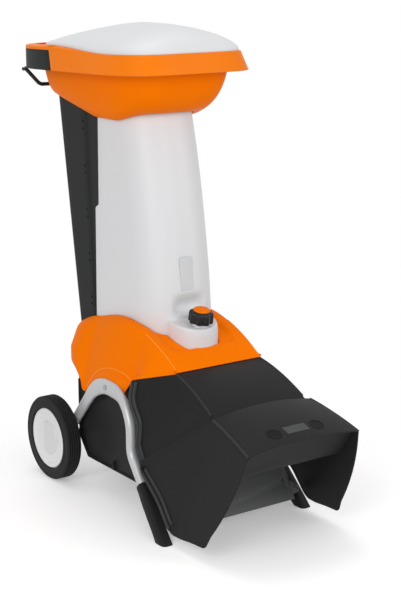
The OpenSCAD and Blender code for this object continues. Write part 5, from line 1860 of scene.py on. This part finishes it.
@dataclass
class HopperShaft:
    """White front shell with the nose for the knob, dark rear shell, seam screws and bare plate."""

    low_z: float = 484
    top_z: float = 1172
    w_low: float = 122
    w_top: float = 118
    wall: float = 4
    front_r: float = 98
    rear_r: float = 25
    middle_y: float = 120
    step_z: float = 870
    nose_w: float = 74
    nose_l: float = 92
    nose_y: float = -36
    nose_p: float = 0.85
    tilt: float = radians(11)
    collar_d: float = 46
    collar_h: float = 8
    knob_y: float = -95
    knob_z: float = 560
    screw_d: float = 8
    screw_z: float = 571
    screw_pitch: float = 134
    screw_apart: float = 11
    seam_low: float = 283
    seam_high: float = 265
    rear_y: float = 395
    rear_slope: float = 0.166
    crease_low: float = 299
    crease_high: float = 340
    crease_run: float = 537
    base_z: float = 565
    side_mark: float = 100
    last_mark: float = 143.2
    dent_w: float = 64
    dent_z: float = 606
    dent_h: float = 46
    dent_d: float = 20

    FRONT = [(484, -50), (603, -45), (721, -33), (880, -10), (1014, 15), (1172, 52)]

    def half_w(self, z: float) -> float:
        """Returns the shaft's half width."""
        return lerp(self.w_low, self.w_top, (z - self.low_z) / (self.top_z - self.low_z))

    def front(self, z: float) -> float:
        """Returns the place of the front face."""
        return looked_up(self.FRONT, z)

    def seam(self, z: float) -> float:
        """Returns the place of the seam between the two shells, which steps forward higher up."""
        return lerp(self.seam_low, self.seam_high, ease((z - self.step_z + 8) / 16))

    def rear(self, z: float) -> float:
        """Returns the place of the sloped rear face."""
        return self.rear_y + self.rear_slope * (z - self.low_z)

    def crease(self, z: float) -> float:
        """Returns where the rear shell steps out to the full width."""
        return lerp(self.crease_low, self.crease_high, (z - self.screw_z) / self.crease_run)

    def dent(self, x: float, z: float) -> float:
        """Returns how deep the finger recess over the knob is."""
        across = ease(1 - (x / self.dent_w) ** 2)
        return self.dent_d * ease(1 - abs(z - self.dent_z) / self.dent_h) * across

    def outline(self, z: float, gap: float) -> Outline:
        """Returns the shaft's outline seen from above, grown by a gap.

        Args:
            z: The height.
            gap: The gap.

        Returns:
            Pairs of x and y.
        """
        w, f, r = self.half_w(z) + gap, self.front(z) - gap, self.front_r + gap
        left = corner(vec(-w, 300), vec(-w, f), vec(w, f), r, 24)
        half, back = pairs(left), self.rear(z) + gap
        return half + [(-x, y) for x, y in reversed(half)] + [(w, back), (-w, back)]

    def nose_outline(self, gap: float) -> Outline:
        """Returns the nose's outline seen from above, grown by a gap.

        Args:
            gap: The gap.

        Returns:
            Pairs of x and y.
        """
        w, length = self.nose_w + gap, self.nose_l + gap
        arc = [radians(180 + 180 * k / 48) for k in range(49)]
        front = [(w * power(cos(a), self.nose_p),
                  self.nose_y + length * power(sin(a), self.nose_p)) for a in arc]
        return front + [(w, self.nose_y + 30), (-w, self.nose_y + 30)]

    def reach(self, angle: float, z: float) -> float:
        """Returns how far the shaft's outside is from its middle in a direction; 0 is the front.

        Args:
            angle: The direction.
            z: The height.

        Returns:
            The distance.
        """
        ux, uy = sin(angle), -cos(angle)
        w, f, r = self.half_w(z), self.front(z), self.front_r
        reach = w / max(1e-6, abs(ux))
        if uy < 0:
            reach = min(reach, (f - self.middle_y) / uy)
        x, y = abs(ux) * reach, self.middle_y + uy * reach
        if x > w - r and y < f + r:
            cx, cy = w - r, f + r - self.middle_y
            along = abs(ux) * cx + uy * cy
            reach = along + sqrt(max(0.0, along * along - cx * cx - cy * cy + r * r))
        return reach

    def nose_reach(self, angle: float) -> float:
        """Returns how far the nose reaches in a direction, 0 where it isn't.

        Args:
            angle: The direction.

        Returns:
            The distance.
        """
        ux, uy = abs(sin(angle)), -cos(angle)
        if uy >= -0.3:
            return 0.0
        start = (self.nose_y - self.middle_y) / uy
        if ux * start >= self.nose_w:
            return 0.0
        low, high = start, start + 2 * self.nose_l
        for _ in range(40):
            mid = (low + high) / 2
            x, y = ux * mid / self.nose_w, (self.nose_y - self.middle_y - uy * mid) / self.nose_l
            inside = x ** (2 / self.nose_p) + max(0.0, y) ** (2 / self.nose_p) < 1
            low, high = (mid, high) if inside else (low, mid)
        return low

    def seat_z(self, y: float) -> float:
        """Returns the height of the nose's sloped top."""
        return self.knob_z + (min(y, self.nose_y) - self.knob_y) * tan(self.tilt)

    def direction(self, mark: float, z: float) -> float:
        """Returns a column's direction at a height, so that the last one follows the seam.

        Args:
            mark: Direction at the foot, in degrees.
            z: The height.

        Returns:
            The direction in radians.
        """
        last = degrees(atan2(self.half_w(z), self.middle_y - self.seam(z)))
        over = (abs(mark) - self.side_mark) / (self.last_mark - self.side_mark)
        size = abs(mark) if over <= 0 else lerp(self.side_mark, last, over)
        return radians(copysign(size, mark))

    def column(self, mark: float) -> Row:
        """Returns one column of the front shell, up the nose, over its top and up the shaft.

        Args:
            mark: Direction at the foot, in degrees.

        Returns:
            The column's points.
        """
        base = self.direction(mark, self.base_z)
        out, shaft = self.nose_reach(base), self.reach(base, self.base_z)
        beyond = max(0.0, out - shaft)
        edge_r, fillet = min(6.0, beyond * 0.45), min(10.0, beyond * 0.45)
        far = max(out, shaft)

        def at(reach: float, z: Optional[float] = None, lift: float = 0.0) -> Point:
            """Returns the point at a reach, on the nose's top or at a height of its own.

            Args:
                reach: Distance from the shaft's middle.
                z: The height, or none on the nose's top.
                lift: Height above the nose's top.

            Returns:
                The point.
            """
            angle = base if z is None else self.direction(mark, z)
            y = self.middle_y - cos(angle) * reach
            return vec(sin(angle) * reach, y, self.seat_z(y) + lift if z is None else z)

        points: Row = []
        quarter, nose_share, draft_max = spread(0, pi / 2, 7), min(1.0, beyond / 20), 2.6
        for z in (self.low_z, 500, 516, 530, 540):
            draft = nose_share * (0.1 * (self.knob_z - z) if z > 515 else draft_max)
            wide = max(out, self.reach(self.direction(mark, z), z))
            points.append(at(wide + min(draft_max, draft), z))
        for a in quarter:
            points.append(at(far - edge_r + edge_r * cos(a), None, edge_r * sin(a) - edge_r))
        points += [at(lerp(far - edge_r, shaft + fillet, k / 7)) for k in range(1, 7)]
        for a in quarter:
            points.append(at(shaft + fillet - fillet * sin(a), None, fillet - fillet * cos(a)))
        heights = spread(588, 660, 14) + spread(676, 856, 10) + spread(860, 880, 9)
        for z in heights + spread(900, self.top_z, 14):
            p = at(self.reach(self.direction(mark, z), z), z)
            points.append(p + vec(0, self.dent(float(p[0]), z), 0))
        return points

    def front_shell(self) -> Form:
        """Returns the white front shell with the knob's collar.

        Returns:
            The form.
        """
        marks = spread(0, 31, 28) + spread(33, 60, 10) + spread(66, self.side_mark, 6)
        marks += spread(108, self.last_mark, 5)
        columns = [self.column(mark) for mark in [-m for m in reversed(marks[1:])] + marks]
        form = Form().skin([list(row) for row in zip(*columns)], self.wall)
        r = self.collar_d / 2
        axis = vec(0, -sin(self.tilt), cos(self.tilt))
        collar = [(6, -2), (r + 3, -2), (r + 1.2, 0.4), (r + 0.2, 1.8), (r, self.collar_h - 1.2),
                  (r - 1.2, self.collar_h), (6, self.collar_h)]
        return form.lathe(collar, vec(0, self.knob_y, self.knob_z), axis, 64, loop=True)

    def rear_shell(self) -> Form:
        """Returns the dark rear shell with its hinge ears.

        Returns:
            The form.
        """
        rows: Grid = []
        for z in spread(self.low_z, 860, 14) + spread(863, 878, 6) + spread(890, self.top_z + 32, 12):
            w, c, back = self.half_w(z), self.crease(z), self.rear(z)
            tucked, s = w - self.wall - 0.2, self.seam(z) - 12
            half = [vec(tucked, lerp(s, c - 6, k / 5), z) for k in range(6)]
            half += [vec(lerp(tucked, w, ease(k / 5)), c - 6 + 6 * k / 5, z) for k in range(1, 6)]
            half += [vec(w, lerp(c, back - self.rear_r, k / 6), z) for k in range(1, 6)]
            bend = corner(vec(w, s), vec(w, back), vec(-w, back), self.rear_r, 10)
            half += [vec(*p, z) for p in bend]
            half += [vec(lerp(w - self.rear_r, 0, k / 6), back, z) for k in range(1, 7)]
            rows.append(half + [flipped(p) for p in reversed(half[:-1])])
        ears = self.ears()
        return Form().skin(rows, self.wall).add(ears.points, ears.faces)

    def ears(self) -> Form:
        """Returns the two ears that carry the hinge pins.

        Returns:
            The form.
        """
        y, z, r = 424.0, 508.0, 10.0
        arc = spread(-pi / 2, pi / 2, 20)
        outline = [(self.rear(z - 12) - 1, z - 12.0)]
        outline += [(y + r * cos(a), z + r * sin(a)) for a in arc]
        outline.append((self.rear(z + 24) - 1, z + 24.0))
        return Form().loft([[vec(-x, a, b) for a, b in outline] for x in (36, 37, 49, 50)]).mirrored()

    def screws(self) -> Thing:
        """Returns the paired screws along both seams.

        Returns:
            One object with all heads.
        """
        r = self.screw_d / 2
        head = [(0, -0.6), (r, -0.6), (r, 1.2), (r - 0.5, 1.9), (r * 0.62, 2.1), (r * 0.55, 2.0),
                (r * 0.5, 0.8), (0, 0.7)]
        form = Form().lathe(head, vec(0, 0, 0), vec(0, 0, 1), 18)
        places: list[tuple[Point, tuple]] = []
        middles = [self.screw_z + self.screw_pitch * i for i in range(5)]
        for z in (middle + k for middle in middles for k in (-self.screw_apart, self.screw_apart)):
            for side in Side:
                at = vec(side.value * self.half_w(z), self.crease(z) + 12, z)
                places.append((at, (0, side.value * pi / 2, 0)))
        return copied("seam_screw_heads", form, places, Look.BLACK)

    def plate(self) -> Form:
        """Returns the small bare plate on the front, with round corners.

        Returns:
            The form.
        """
        half_w, half_h, r, middle_x, middle_z = 22, 49, 5, -7, 703
        lean = atan2(self.front(721) - self.front(603), 118)
        along, out = vec(0, sin(lean), cos(lean)), vec(0, -cos(lean), 0)
        middle = vec(middle_x, self.front(middle_z) - 0.4, middle_z)
        outline: Outline = []
        for x, z, start in ((1, 1, 0), (-1, 1, 90), (-1, -1, 180), (1, -1, 270)):
            arc = [radians(start + 15 * k) for k in range(7)]
            outline += [(x * (half_w - r) + r * cos(a), z * (half_h - r) + r * sin(a)) for a in arc]
        rows: Grid = []
        for depth, inset in ((0, 0), (0.8, 0), (1.2, 0.4)):
            kx, kz = 1 - inset / half_w, 1 - inset / half_h
            rows.append([middle + vec(x * kx, 0, 0) + out * depth + along * z * kz for x, z in outline])
        return Form().loft(rows)

    def build(self) -> None:
        """Makes the shaft's pieces."""
        front = self.front_shell().object("shaft_front_shell", 0.6)
        settle(front, Body.HOPPER, Look.WHITE, "shaft_front", smooth=40)
        rear = self.rear_shell().object("shaft_rear_shell", 0.8)
        settle(rear, Body.HOPPER, Look.GREY, "shaft_rear", smooth=30)
        settle(self.screws(), Body.HOPPER, Look.BLACK, "seam_screws")
        settle(self.plate().object("front_bare_plate"), Body.HOPPER, Look.PLATE, "front_plate")
        carry(Body.HOPPER, Look.BLACK, 0.6, "throat_plate")


@dataclass
class HopperTop:
    """Bowl, rim, rear guard, bar handle, white hood and rubber curtain."""

    shaft: HopperShaft
    rim_w: float = 230
    rim_front: float = -100
    rim_rear: float = 590
    rim_mid: float = 250
    rim_z: float = 1338
    rim_p: float = 5
    flare: float = 18
    skirt_front: float = 51
    skirt_rear: float = 68
    wall: float = 4
    gap: float = 0.2
    guard_y: float = 342
    lip_h: float = 8
    guard_slant: float = 20
    bowl_inset: float = 47
    bowl_mid: float = 270
    bowl_low: float = 1139
    bowl_seat: float = 3.4
    bowl_rise: float = 25
    bowl_rear_rise: float = 54
    rim_lean: float = 0.028
    rod_y: float = 362
    dome_top: float = 1416
    mouth_y: float = 412
    dome_inset: float = 6
    peak_y: float = 164
    mouth_fall: float = 0.548
    mouth_lean: float = 24
    dome_p: float = 0.522
    dome_front_p: float = 3.33
    dome_side_p: float = 1.49
    handle_d: float = 12
    handle_y: float = 564
    handle_x: float = 196
    handle_run: float = 52
    handle_drop: float = 54
    handle_r: float = 26

    def angles(self, fine: int = 14) -> list[float]:
        """Returns angles whose points lie evenly along the rim's sides and round its corners.

        Args:
            fine: Number of angles along half a side.

        Returns:
            The angles in degrees.
        """
        side = [degrees(asin(t ** (self.rim_p / 2))) for t in spread(0, 0.72, fine)]
        bend = spread(side[-1], 90 - side[-1], 12)[1:-1]
        quarter = side + bend + [90 - a for a in reversed(side)]
        return [90 * turn + a for turn in range(4) for a in quarter[:-1]]

    def loop(self, angle: float, w: float, front: float, rear: float) -> Point:
        """Returns a point of a square-cornered loop seen from above; 0 is right, 90 the rear.

        Args:
            angle: The direction in degrees.
            w: Half width of the loop.
            front: Its front end.
            rear: Its rear end.

        Returns:
            The point, seen from above.
        """
        a = radians(angle)
        c, s = power(cos(a), 2 / self.rim_p), power(sin(a), 2 / self.rim_p)
        return vec(w * c, self.rim_mid + (rear - self.rim_mid if s > 0 else self.rim_mid - front) * s)

    def rim(self, angle: float, inset: float) -> Point:
        """Returns a point of the rim's loop, drawn in by an inset."""
        return self.loop(angle, self.rim_w - inset, self.rim_front + inset, self.rim_rear - inset * 0.5)

    def low_z(self, y: float) -> float:
        """Returns the height of the skirt's lower edge."""
        return self.rim_z - self.skirt_front - self.rim_lean * (y - self.rim_front)

    def top_z(self, y: float) -> float:
        """Returns the height of the skirt's upper edge."""
        return self.low_z(y) + lerp(self.skirt_front, self.skirt_rear, ease((y - 60) / 320))

    def foot_reach(self) -> tuple[float, float, float]:
        """Returns how far the bowl's foot reaches sideways, forwards and backwards.

        Returns:
            Its half width, and its reach to the front and to the rear of the bowl's middle.
        """
        shaft, seat = self.shaft, self.bowl_seat
        front = self.bowl_mid - (shaft.front(self.bowl_low + self.bowl_rise) - seat)
        rear = shaft.rear(self.bowl_low + self.bowl_rear_rise) + seat - self.bowl_mid
        return shaft.half_w(self.bowl_low) + seat, front, rear

    def box(self, v: Point) -> Point:
        """Returns the bowl's lower edge in a direction: a box with round corners that fits the shaft.

        Args:
            v: The direction, seen from above.

        Returns:
            The point there.
        """
        shaft, seat = self.shaft, self.bowl_seat
        w, front, rear = self.foot_reach()
        depth = rear if v[1] > 0 else front
        p = v * min(w / max(0.001, abs(v[0])), depth / max(0.001, abs(v[1])))
        r = (shaft.rear_r if v[1] > 0 else shaft.front_r) + seat
        d = vec(abs(p[0]) - w + r, abs(p[1]) - depth + r)
        if d[0] > 0 and d[1] > 0:
            out = vec(abs(p[0]), abs(p[1])) - d + r * d / np.linalg.norm(d)
            p = vec(copysign(out[0], v[0]), copysign(out[1], v[1]))
        return vec(p[0], self.bowl_mid + p[1])

    def bowl_point(self, angle: float, s: float) -> Point:
        """Returns a point of the bowl's outside, from its foot at 0 to the flange at 1.

        Args:
            angle: Direction from the middle.
            s: Share of the way up.

        Returns:
            The point.
        """
        rear_inset = self.bowl_inset * 0.8
        high = self.loop(angle, self.rim_w - self.bowl_inset, self.rim_front + self.bowl_inset,
                         self.rim_rear - rear_inset)
        w, front, rear = self.foot_reach()
        if high[1] > self.rim_mid:
            reach = rear / (self.rim_rear - self.rim_mid - rear_inset)
        else:
            reach = front / (self.rim_mid - self.rim_front - self.bowl_inset)
        across = high[0] * w / (self.rim_w - self.bowl_inset)
        low = self.box(vec(across, (high[1] - self.rim_mid) * reach))
        foot = self.bowl_low + self.bowl_rise * ease((160 - low[1]) / 115)
        foot += self.bowl_rear_rise * max(0.0, (low[1] - 265) / 245)
        p, head = lerp(low, high, sin(pi / 2 * s)), self.top_z(high[1]) - self.wall - self.gap
        return vec(p[0], p[1], lerp(foot, head, 1 - cos(pi / 2 * s)))

    def bowl(self) -> Form:
        """Returns the bowl with its flange.

        Returns:
            The form.
        """
        angles = self.angles()
        rows = [[self.bowl_point(a, s) for a in angles] for s in spread(0, 1, 26)]
        rims = [self.rim(a, self.flare + self.wall + 2) for a in angles]
        flange = [vec(*p, self.top_z(p[1]) - self.wall - self.gap) for p in rims]
        rows += [[lerp(p, q, share) for p, q in zip(rows[-1], flange)] for share in (0.35, 1.0)]
        return Form().skin(rows, self.wall, ring=True)

    def split(self, share: float) -> float:
        """Returns the angle at which the orange skirt meets the guard, further forward lower down."""
        back = self.guard_y + self.guard_slant * share - self.rim_mid
        return degrees(asin((back / (self.rim_rear - self.rim_mid)) ** (self.rim_p / 2)))

    def flare_at(self, angle: float) -> float:
        """Returns how far the skirt is drawn in at its upper edge, less towards the rear."""
        return self.flare * (1 - ease((self.rim(angle, 0)[1] - 150) / 300))

    def skirt_point(self, angle: float, share: float) -> Point:
        """Returns a point of the skirt's outside, from its lower edge at 0 to its upper edge at 1."""
        p = self.rim(angle, self.flare_at(angle) * share)
        return vec(p[0], p[1], lerp(self.low_z(p[1]), self.top_z(p[1]), share))

    def lip_rows(self, angles: Sequence[float]) -> Grid:
        """Returns the rows of the rolled top edge and its inner flange.

        Args:
            angles: Directions of the columns.

        Returns:
            The rows.
        """
        rows: Grid = []
        for k in range(1, 9):
            t = pi / 2 * min(1.0, k / 7)
            row: Row = []
            for a in angles:
                inset = lerp(self.flare_at(a), self.flare + 5, 1 - cos(t))
                p = self.rim(a, inset + (9 if k == 8 else 0))
                row.append(vec(p[0], p[1], self.top_z(p[1]) + (self.wall + self.gap) * sin(t)))
            rows.append(row)
        return rows

    def build_rim(self) -> None:
        """Makes the orange rim with its lip all round, and the dark guard under the lip at the rear."""
        every = self.angles()
        wide = self.split(1.0) + 0.5
        past = min(wide - 2, self.split(0) - 0.5)
        front = [a for a in every + [a + 360 for a in every] if 180 - past < a < 360 + past]
        rear = [a for a in every if wide < a < 180 - wide]
        top = 1 - self.lip_h / self.skirt_rear
        shares = spread(0, top, 8)
        skirt_rows: Grid = []
        guard_rows: Grid = []
        for s in shares:
            split, slit = self.split(s), self.split(s) + 0.15
            skirt_rows.append([self.skirt_point(a, s) for a in [180 - split, *front, 360 + split]])
            guard_rows.append([self.skirt_point(a, s * 0.99) for a in [slit, *rear, 180 - slit]])
        half_way = lerp(top, 1, 0.5)
        ends = [180 - self.split(top), *front, 360 + self.split(top)]
        skirt_rows += [[self.skirt_point(a, s) for a in ends] for s in (half_way, 1.0)]
        skirt = Form().skin(skirt_rows + self.lip_rows(ends), self.wall)
        ends = [self.split(top), *rear, 180 - self.split(top)]
        lip = [[self.skirt_point(a, s) for a in ends] for s in (top, half_way, 1.0)]
        skirt.skin(lip + self.lip_rows(ends), self.wall)
        # The skirt's paler orange is painted light, for the light its upturned face catches.
        settle(skirt.object("rim_skirt_shell", 0.8), Body.HOPPER, Look.RIM, "rim_skirt", smooth=30)
        guard = Form().skin(guard_rows, self.wall)
        settle(guard.object("rear_guard_shell", 1.0), Body.HOPPER, Look.GREY, "rear_guard", smooth=30)

    def half_width(self, y: float, inset: float) -> float:
        """Returns the half width of the rim's loop at a place along it.

        Args:
            y: The place.
            inset: How far the loop is drawn in.

        Returns:
            The half width.
        """
        end = self.rim_rear if y > self.rim_mid else self.rim_front + inset
        t = (y - self.rim_mid) / (end - self.rim_mid)
        return (self.rim_w - inset) * (1 - min(0.9999, t) ** self.rim_p) ** (1 / self.rim_p)

    def dome_row(self, y: float) -> Row:
        """Returns the section of the white hood at one place.

        Args:
            y: The place.

        Returns:
            The row's points.
        """
        inset = self.flare + self.dome_inset
        front = self.rim_front + inset
        w, edge = self.half_width(y, inset), self.top_z(y) + self.wall + self.gap + 0.4
        if y > self.peak_y:
            rise = 1 - self.mouth_fall * ((y - self.peak_y) / (self.mouth_y - self.peak_y)) ** 2
        else:
            rise = (1 - ((self.peak_y - y) / (self.peak_y - front)) ** self.dome_front_p) ** self.dome_p
        height = max(7.0, (self.dome_top - edge) * rise)
        row: Row = []
        for k in range(73):
            c = cos(pi * k / 72)
            s = max(0.0, 1 - abs(c) ** self.dome_side_p) ** self.dome_p
            lean = self.mouth_lean * s * ease((y - self.mouth_y + 40) / 40)
            row.append(vec(w * c, y - lean, edge + lerp(4, height, s)))
        return [vec(w, y, edge)] + row + [vec(-w, y, edge)]

    def dome(self) -> Form:
        """Returns the white hood over the bowl.

        Returns:
            The form.
        """
        front = self.rim_front + self.flare + self.dome_inset
        places = spread(self.mouth_y, 40, 34) + spread(28, front + 44, 8)
        places += [front + d for d in (36, 29, 23, 18, 13.5, 10, 7, 4.6, 2.9, 1.6, 0.8, 0.3)]
        return Form().skin([self.dome_row(y) for y in places], self.wall, capped=True)

    def handle(self) -> Thing:
        """Returns the bar handle with its two sockets.

        Returns:
            The bar and sockets as one object.
        """
        x, y, r = self.handle_x, self.handle_y, self.handle_r
        z, inner = self.low_z(y) - 1, x - self.handle_run
        low = z - self.handle_drop
        a, b, c, d = vec(-x, y, z), vec(-inner, y, low), vec(inner, y, low), vec(x, y, z)
        path = [a, *corner(a, b, c, r, 12), *corner(b, c, d, r, 12), d]
        bar = swept("bar", resampled(path, 24), self.handle_d / 2, Look.KNOB, 24)
        r = self.handle_d / 2 + 3
        profile = [(0, -9), (r - 2, -9), (r, -7), (r, 0.4), (0, 0.4)]
        socket = Form().lathe(profile, a, vec(0, 0, 1), 32).mirrored().object("sockets", 0.5)
        return joined("handle_bar", bar, socket)

    def strip(self, middle: float) -> Form:
        """Returns one rubber strip that is folded over the rod.

        Args:
            middle: Its place across.

        Returns:
            The form.
        """
        y, z, fold_r = self.rod_y, self.top_z(self.rod_y) - 16, 7
        path = [(-1.5 + 0.8 * sin((96 + h) / 14), h) for h in spread(-96, -14, 16)] + [(-1.5, -9.5)]
        fold = spread(radians(256), radians(-74), 36)
        path += [(fold_r * cos(a), fold_r * sin(a)) for a in fold]
        rows = [[vec(middle + x, y + a, z + b) for x in spread(-46, 46, 14)] for a, b in path]
        return Form().skin(rows, 2.8)

    def build(self) -> None:
        """Makes the hopper's upper pieces."""
        settle(self.bowl().object("bowl_shell", 0.8), Body.HOPPER, Look.ORANGE, "hopper_bowl", smooth=32)
        self.build_rim()
        settle(self.handle(), Body.HOPPER, Look.KNOB, "bar_handle")
        settle(self.dome().object("dome_shell", 0.8), Body.HOPPER, Look.WHITE, "hopper_hood", smooth=40)
        carry(Body.HOPPER, Look.STEEL, 0.6, "curtain_rod")
        for middle, body in ((-97, Body.STRIP_LEFT), (0, Body.STRIP_MIDDLE), (97, Body.STRIP_RIGHT)):
            name = body.value.removeprefix("strip_")
            strip = self.strip(middle).object(f"splash_strip_{name}", 0.5)
            settle(strip, body, Look.CURTAIN, f"curtain_{name}")


@dataclass
class LockKnob:
    """Lobed knob with its cap, stud and washer."""

    seat: tuple[float, float, float] = (0, -95, 560)
    tilt: float = radians(11)
    low: float = 10.6
    height: float = 38
    lobes: int = 8
    outer: float = 37
    inner: float = 31.2
    cap_r: float = 24.9

    def placed(self, x: float, y: float, h: float) -> Point:
        """Returns a point of the knob's own frame in the machine's."""
        c, s = cos(self.tilt), sin(self.tilt)
        return vec(self.seat[0] + x, self.seat[1] + y * c - h * s, self.seat[2] + y * s + h * c)

    def grip(self) -> Form:
        """Returns the lobed grip: round lobes below, drawn in to a collar on top.

        Returns:
            The form.
        """
        steps = [(0, -1.6, 0.9), (0.5, -0.5, 1), (1.6, 0, 1), (12, 0, 1), (24, -0.2, 1), (28.5, -0.8, 1),
                 (31, -2.2, 0.95), (32.6, -4.4, 0.8), (33.6, -7.2, 0.5), (34.0, -9.6, 0.15),
                 (34.3, -11.4, 0), (36.6, -12.2, 0), (37.7, -12.8, 0), (38.0, -14.0, 0),
                 (38.0, -16.4, 0), (37.4, -17.2, 0), (33.5, -17.4, 0)]
        middle, swing = (self.outer + self.inner) / 2, (self.outer - self.inner) / 2
        rows: Grid = []
        for h, inset, amount in steps:
            row: Row = []
            for a in turns(128):
                lobe = power(cos(self.lobes * a), 0.8) * swing * amount
                r = middle + lobe + swing * (1 - amount) + inset
                row.append(self.placed(r * cos(a), r * sin(a), self.low + h))
            rows.append(row)
        return Form().loft(rows)

    def cap(self) -> Form:
        """Returns the domed cap with a shallow ring.

        Returns:
            The form.
        """
        r, h0 = self.cap_r, self.low + self.height - 3.4
        profile = [(0, h0), (r, h0), (r, h0 + 2.4), (r - 0.4, h0 + 3.5), (r - 1.6, h0 + 4.3),
                   (r - 4, h0 + 4.6), (r - 4.6, h0 + 4.2), (r - 5.6, h0 + 4.2), (r - 6.2, h0 + 4.65),
                   (8, h0 + 4.9), (0, h0 + 4.9)]
        axis = vec(0, -sin(self.tilt), cos(self.tilt))
        return Form().lathe(profile, vec(*self.seat), axis, 72)

    def build(self) -> None:
        """Makes the knob's pieces."""
        settle(self.grip().object("knob_grip"), Body.KNOB, Look.KNOB, "lock_knob", smooth=46)
        settle(self.cap().object("knob_cap_fine"), Body.KNOB, Look.ORANGE, "knob_cap", smooth=40)
        carry(Body.KNOB, Look.STEEL, 0.6, "lock_stud")
        carry(Body.KNOB_SEAT, Look.STEEL, 0.2, "lock_washer")


@dataclass
class CuttingUnit:
    """Motor, chamber and knives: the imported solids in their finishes."""

    finishes: tuple[tuple[str, Look], ...] = (
        ("cutting_chamber", Look.ALUMINIUM), ("motor_shell", Look.GREY),
        ("motor_shield_top", Look.ALUMINIUM), ("motor_shield_bottom", Look.ALUMINIUM),
        ("stator", Look.COPPER), ("rotor_core", Look.STEEL),
        ("rotor_shaft", Look.STEEL), ("bearings", Look.STEEL),
        ("cooling_fan", Look.BLACK), ("counter_blade", Look.BLADE), ("inlet_pins", Look.STEEL))

    def build(self) -> None:
        """Dresses the carried-over solids and makes the knives finer."""
        for node, look in self.finishes:
            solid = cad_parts[node]
            if not solid.material_slots:
                solid.data.materials.append(look.value.material())
            solid.material_slots[0].material = look.value.material()
            log.info("%s keeps its solid in %s", node, look.value.name)
        carry(Body.ROTOR, Look.STEEL, 0.6, "knife_disc")
        carry(Body.ROTOR, Look.BLADE, 0.4, "knives")
        carry(Body.ROTOR, Look.STEEL, 0.8, "knife_bolt")


# Studio


@dataclass
class Studio:
    """Pale floor, soft light and the camera of the photograph."""

    eye: tuple[float, float, float] = (-2.38935, -3.48814, 1.64855)
    target: tuple[float, float, float] = (0.1418, 0.1041, 0.5747)
    lens: float = 88.38
    ambient: float = 0.56
    key: float = 66.0
    right_fill: float = 42.0
    left_fill: float = 64.0

    def camera(self) -> None:
        """Makes the camera at the photograph's angle."""
        data = bpy.data.cameras.new("view_of_photo")
        data.lens = self.lens
        data.sensor_width = 36
        bpy.context.scene.camera = aimed("view_of_photo", data, self.eye, self.target)

    def lamp(self, name: str, at: tuple, towards: tuple, size: float, watts: float) -> None:
        """Makes one soft square lamp.

        Args:
            name: Its name.
            at: Where it hangs.
            towards: What it lights.
            size: Length of a side.
            watts: Its power.
        """
        data = bpy.data.lights.new(name, "AREA")
        data.shape = "SQUARE"
        data.size = size
        data.energy = watts
        aimed(name, data, at, towards)

    def world(self) -> None:
        """Makes the surroundings: white where they are seen, dimmer where they light the object."""
        world = bpy.data.worlds.new("white_studio")
        tree = ShaderTree(world)
        path = tree.add("ShaderNodeLightPath")
        kinds = ("Camera", "Glossy", "Transmission")
        camera, glossy, clear = (Term(tree, path.outputs[f"Is {kind} Ray"]) for kind in kinds)
        seen = tree.math("MINIMUM", camera + glossy + clear, 1.0)
        light, white = (tree.term("ShaderNodeBackground", {"Color": (1, 1, 1, 1), "Strength": strength})
                        for strength in (self.ambient, 1.0))
        both = tree.term("ShaderNodeMixShader", {0: seen, 1: light, 2: white})
        tree.add("ShaderNodeOutputWorld", {"Surface": both})
        bpy.context.scene.world = world

    def floor(self) -> None:
        """Makes the pale floor, which fades into the white further out."""
        mesh = bpy.data.meshes.new("pale_floor")
        mesh.from_pydata([(-6, -6, 0), (6, -6, 0), (6, 6, 0), (-6, 6, 0)], [], [(0, 1, 2, 3)])
        floor = new_object("pale_floor", mesh)
        material = bpy.data.materials.new("pale_floor_paper")
        tree = ShaderTree(material)
        place = tree.term("ShaderNodeMapping", {
            "Vector": tree.place(), "Location": (0, 0.154, 0), "Scale": (1, 0.77, 1)})
        far = tree.term("ShaderNodeVectorMath", {0: place}, "Value", operation="LENGTH")
        fade = 1 - tree.within(far, 0.5, 0.98)
        paper = tree.term("ShaderNodeBsdfPrincipled", {
            "Base Color": (0.86, 0.86, 0.86, 1), "Roughness": 0.9, "Specular IOR Level": 0.05,
            "Alpha": fade, "Emission Color": (1, 1, 1, 1), "Emission Strength": 0.29})
        tree.add("ShaderNodeOutputMaterial", {"Surface": paper})
        mesh.materials.append(material)

    def build(self) -> None:
        """Sets up camera, lamps, world, floor and view transform."""
        self.camera()
        self.lamp("overhead_softbox", (0.3, 1.3, 6.0), (0, 0, 0.5), 3.2, self.key)
        self.lamp("front_right_fill", (1.6, -3.4, 2.2), (0, 0, 0.6), 2.4, self.right_fill)
        self.lamp("front_left_fill", (-3.2, -2.0, 2.0), (0, 0, 0.6), 2.4, self.left_fill)
        self.world()
        self.floor()
        bpy.context.scene.view_settings.view_transform = "Standard"


def main() -> None:
    """Builds the sub-assemblies in order."""
    logging.basicConfig(level=logging.INFO, format="%(name)s: %(message)s")
    Studio().build()
    legs = [FrameTube(side) for side in Side]
    shaft = HopperShaft()
    hood = MotorHood(legs[0], shaft)
    chute = DischargeChute(legs[0], hood)
    wheels = [Wheel(side) for side in Side]
    for part in [*legs, *wheels, hood, BasePan(), chute, DischargeFlap(chute), shaft, HopperTop(shaft),
                 LockKnob(), CuttingUnit()]:
        log.info("building %s", type(part).__name__)
        part.build()


if __name__ == "__main__":
    main()
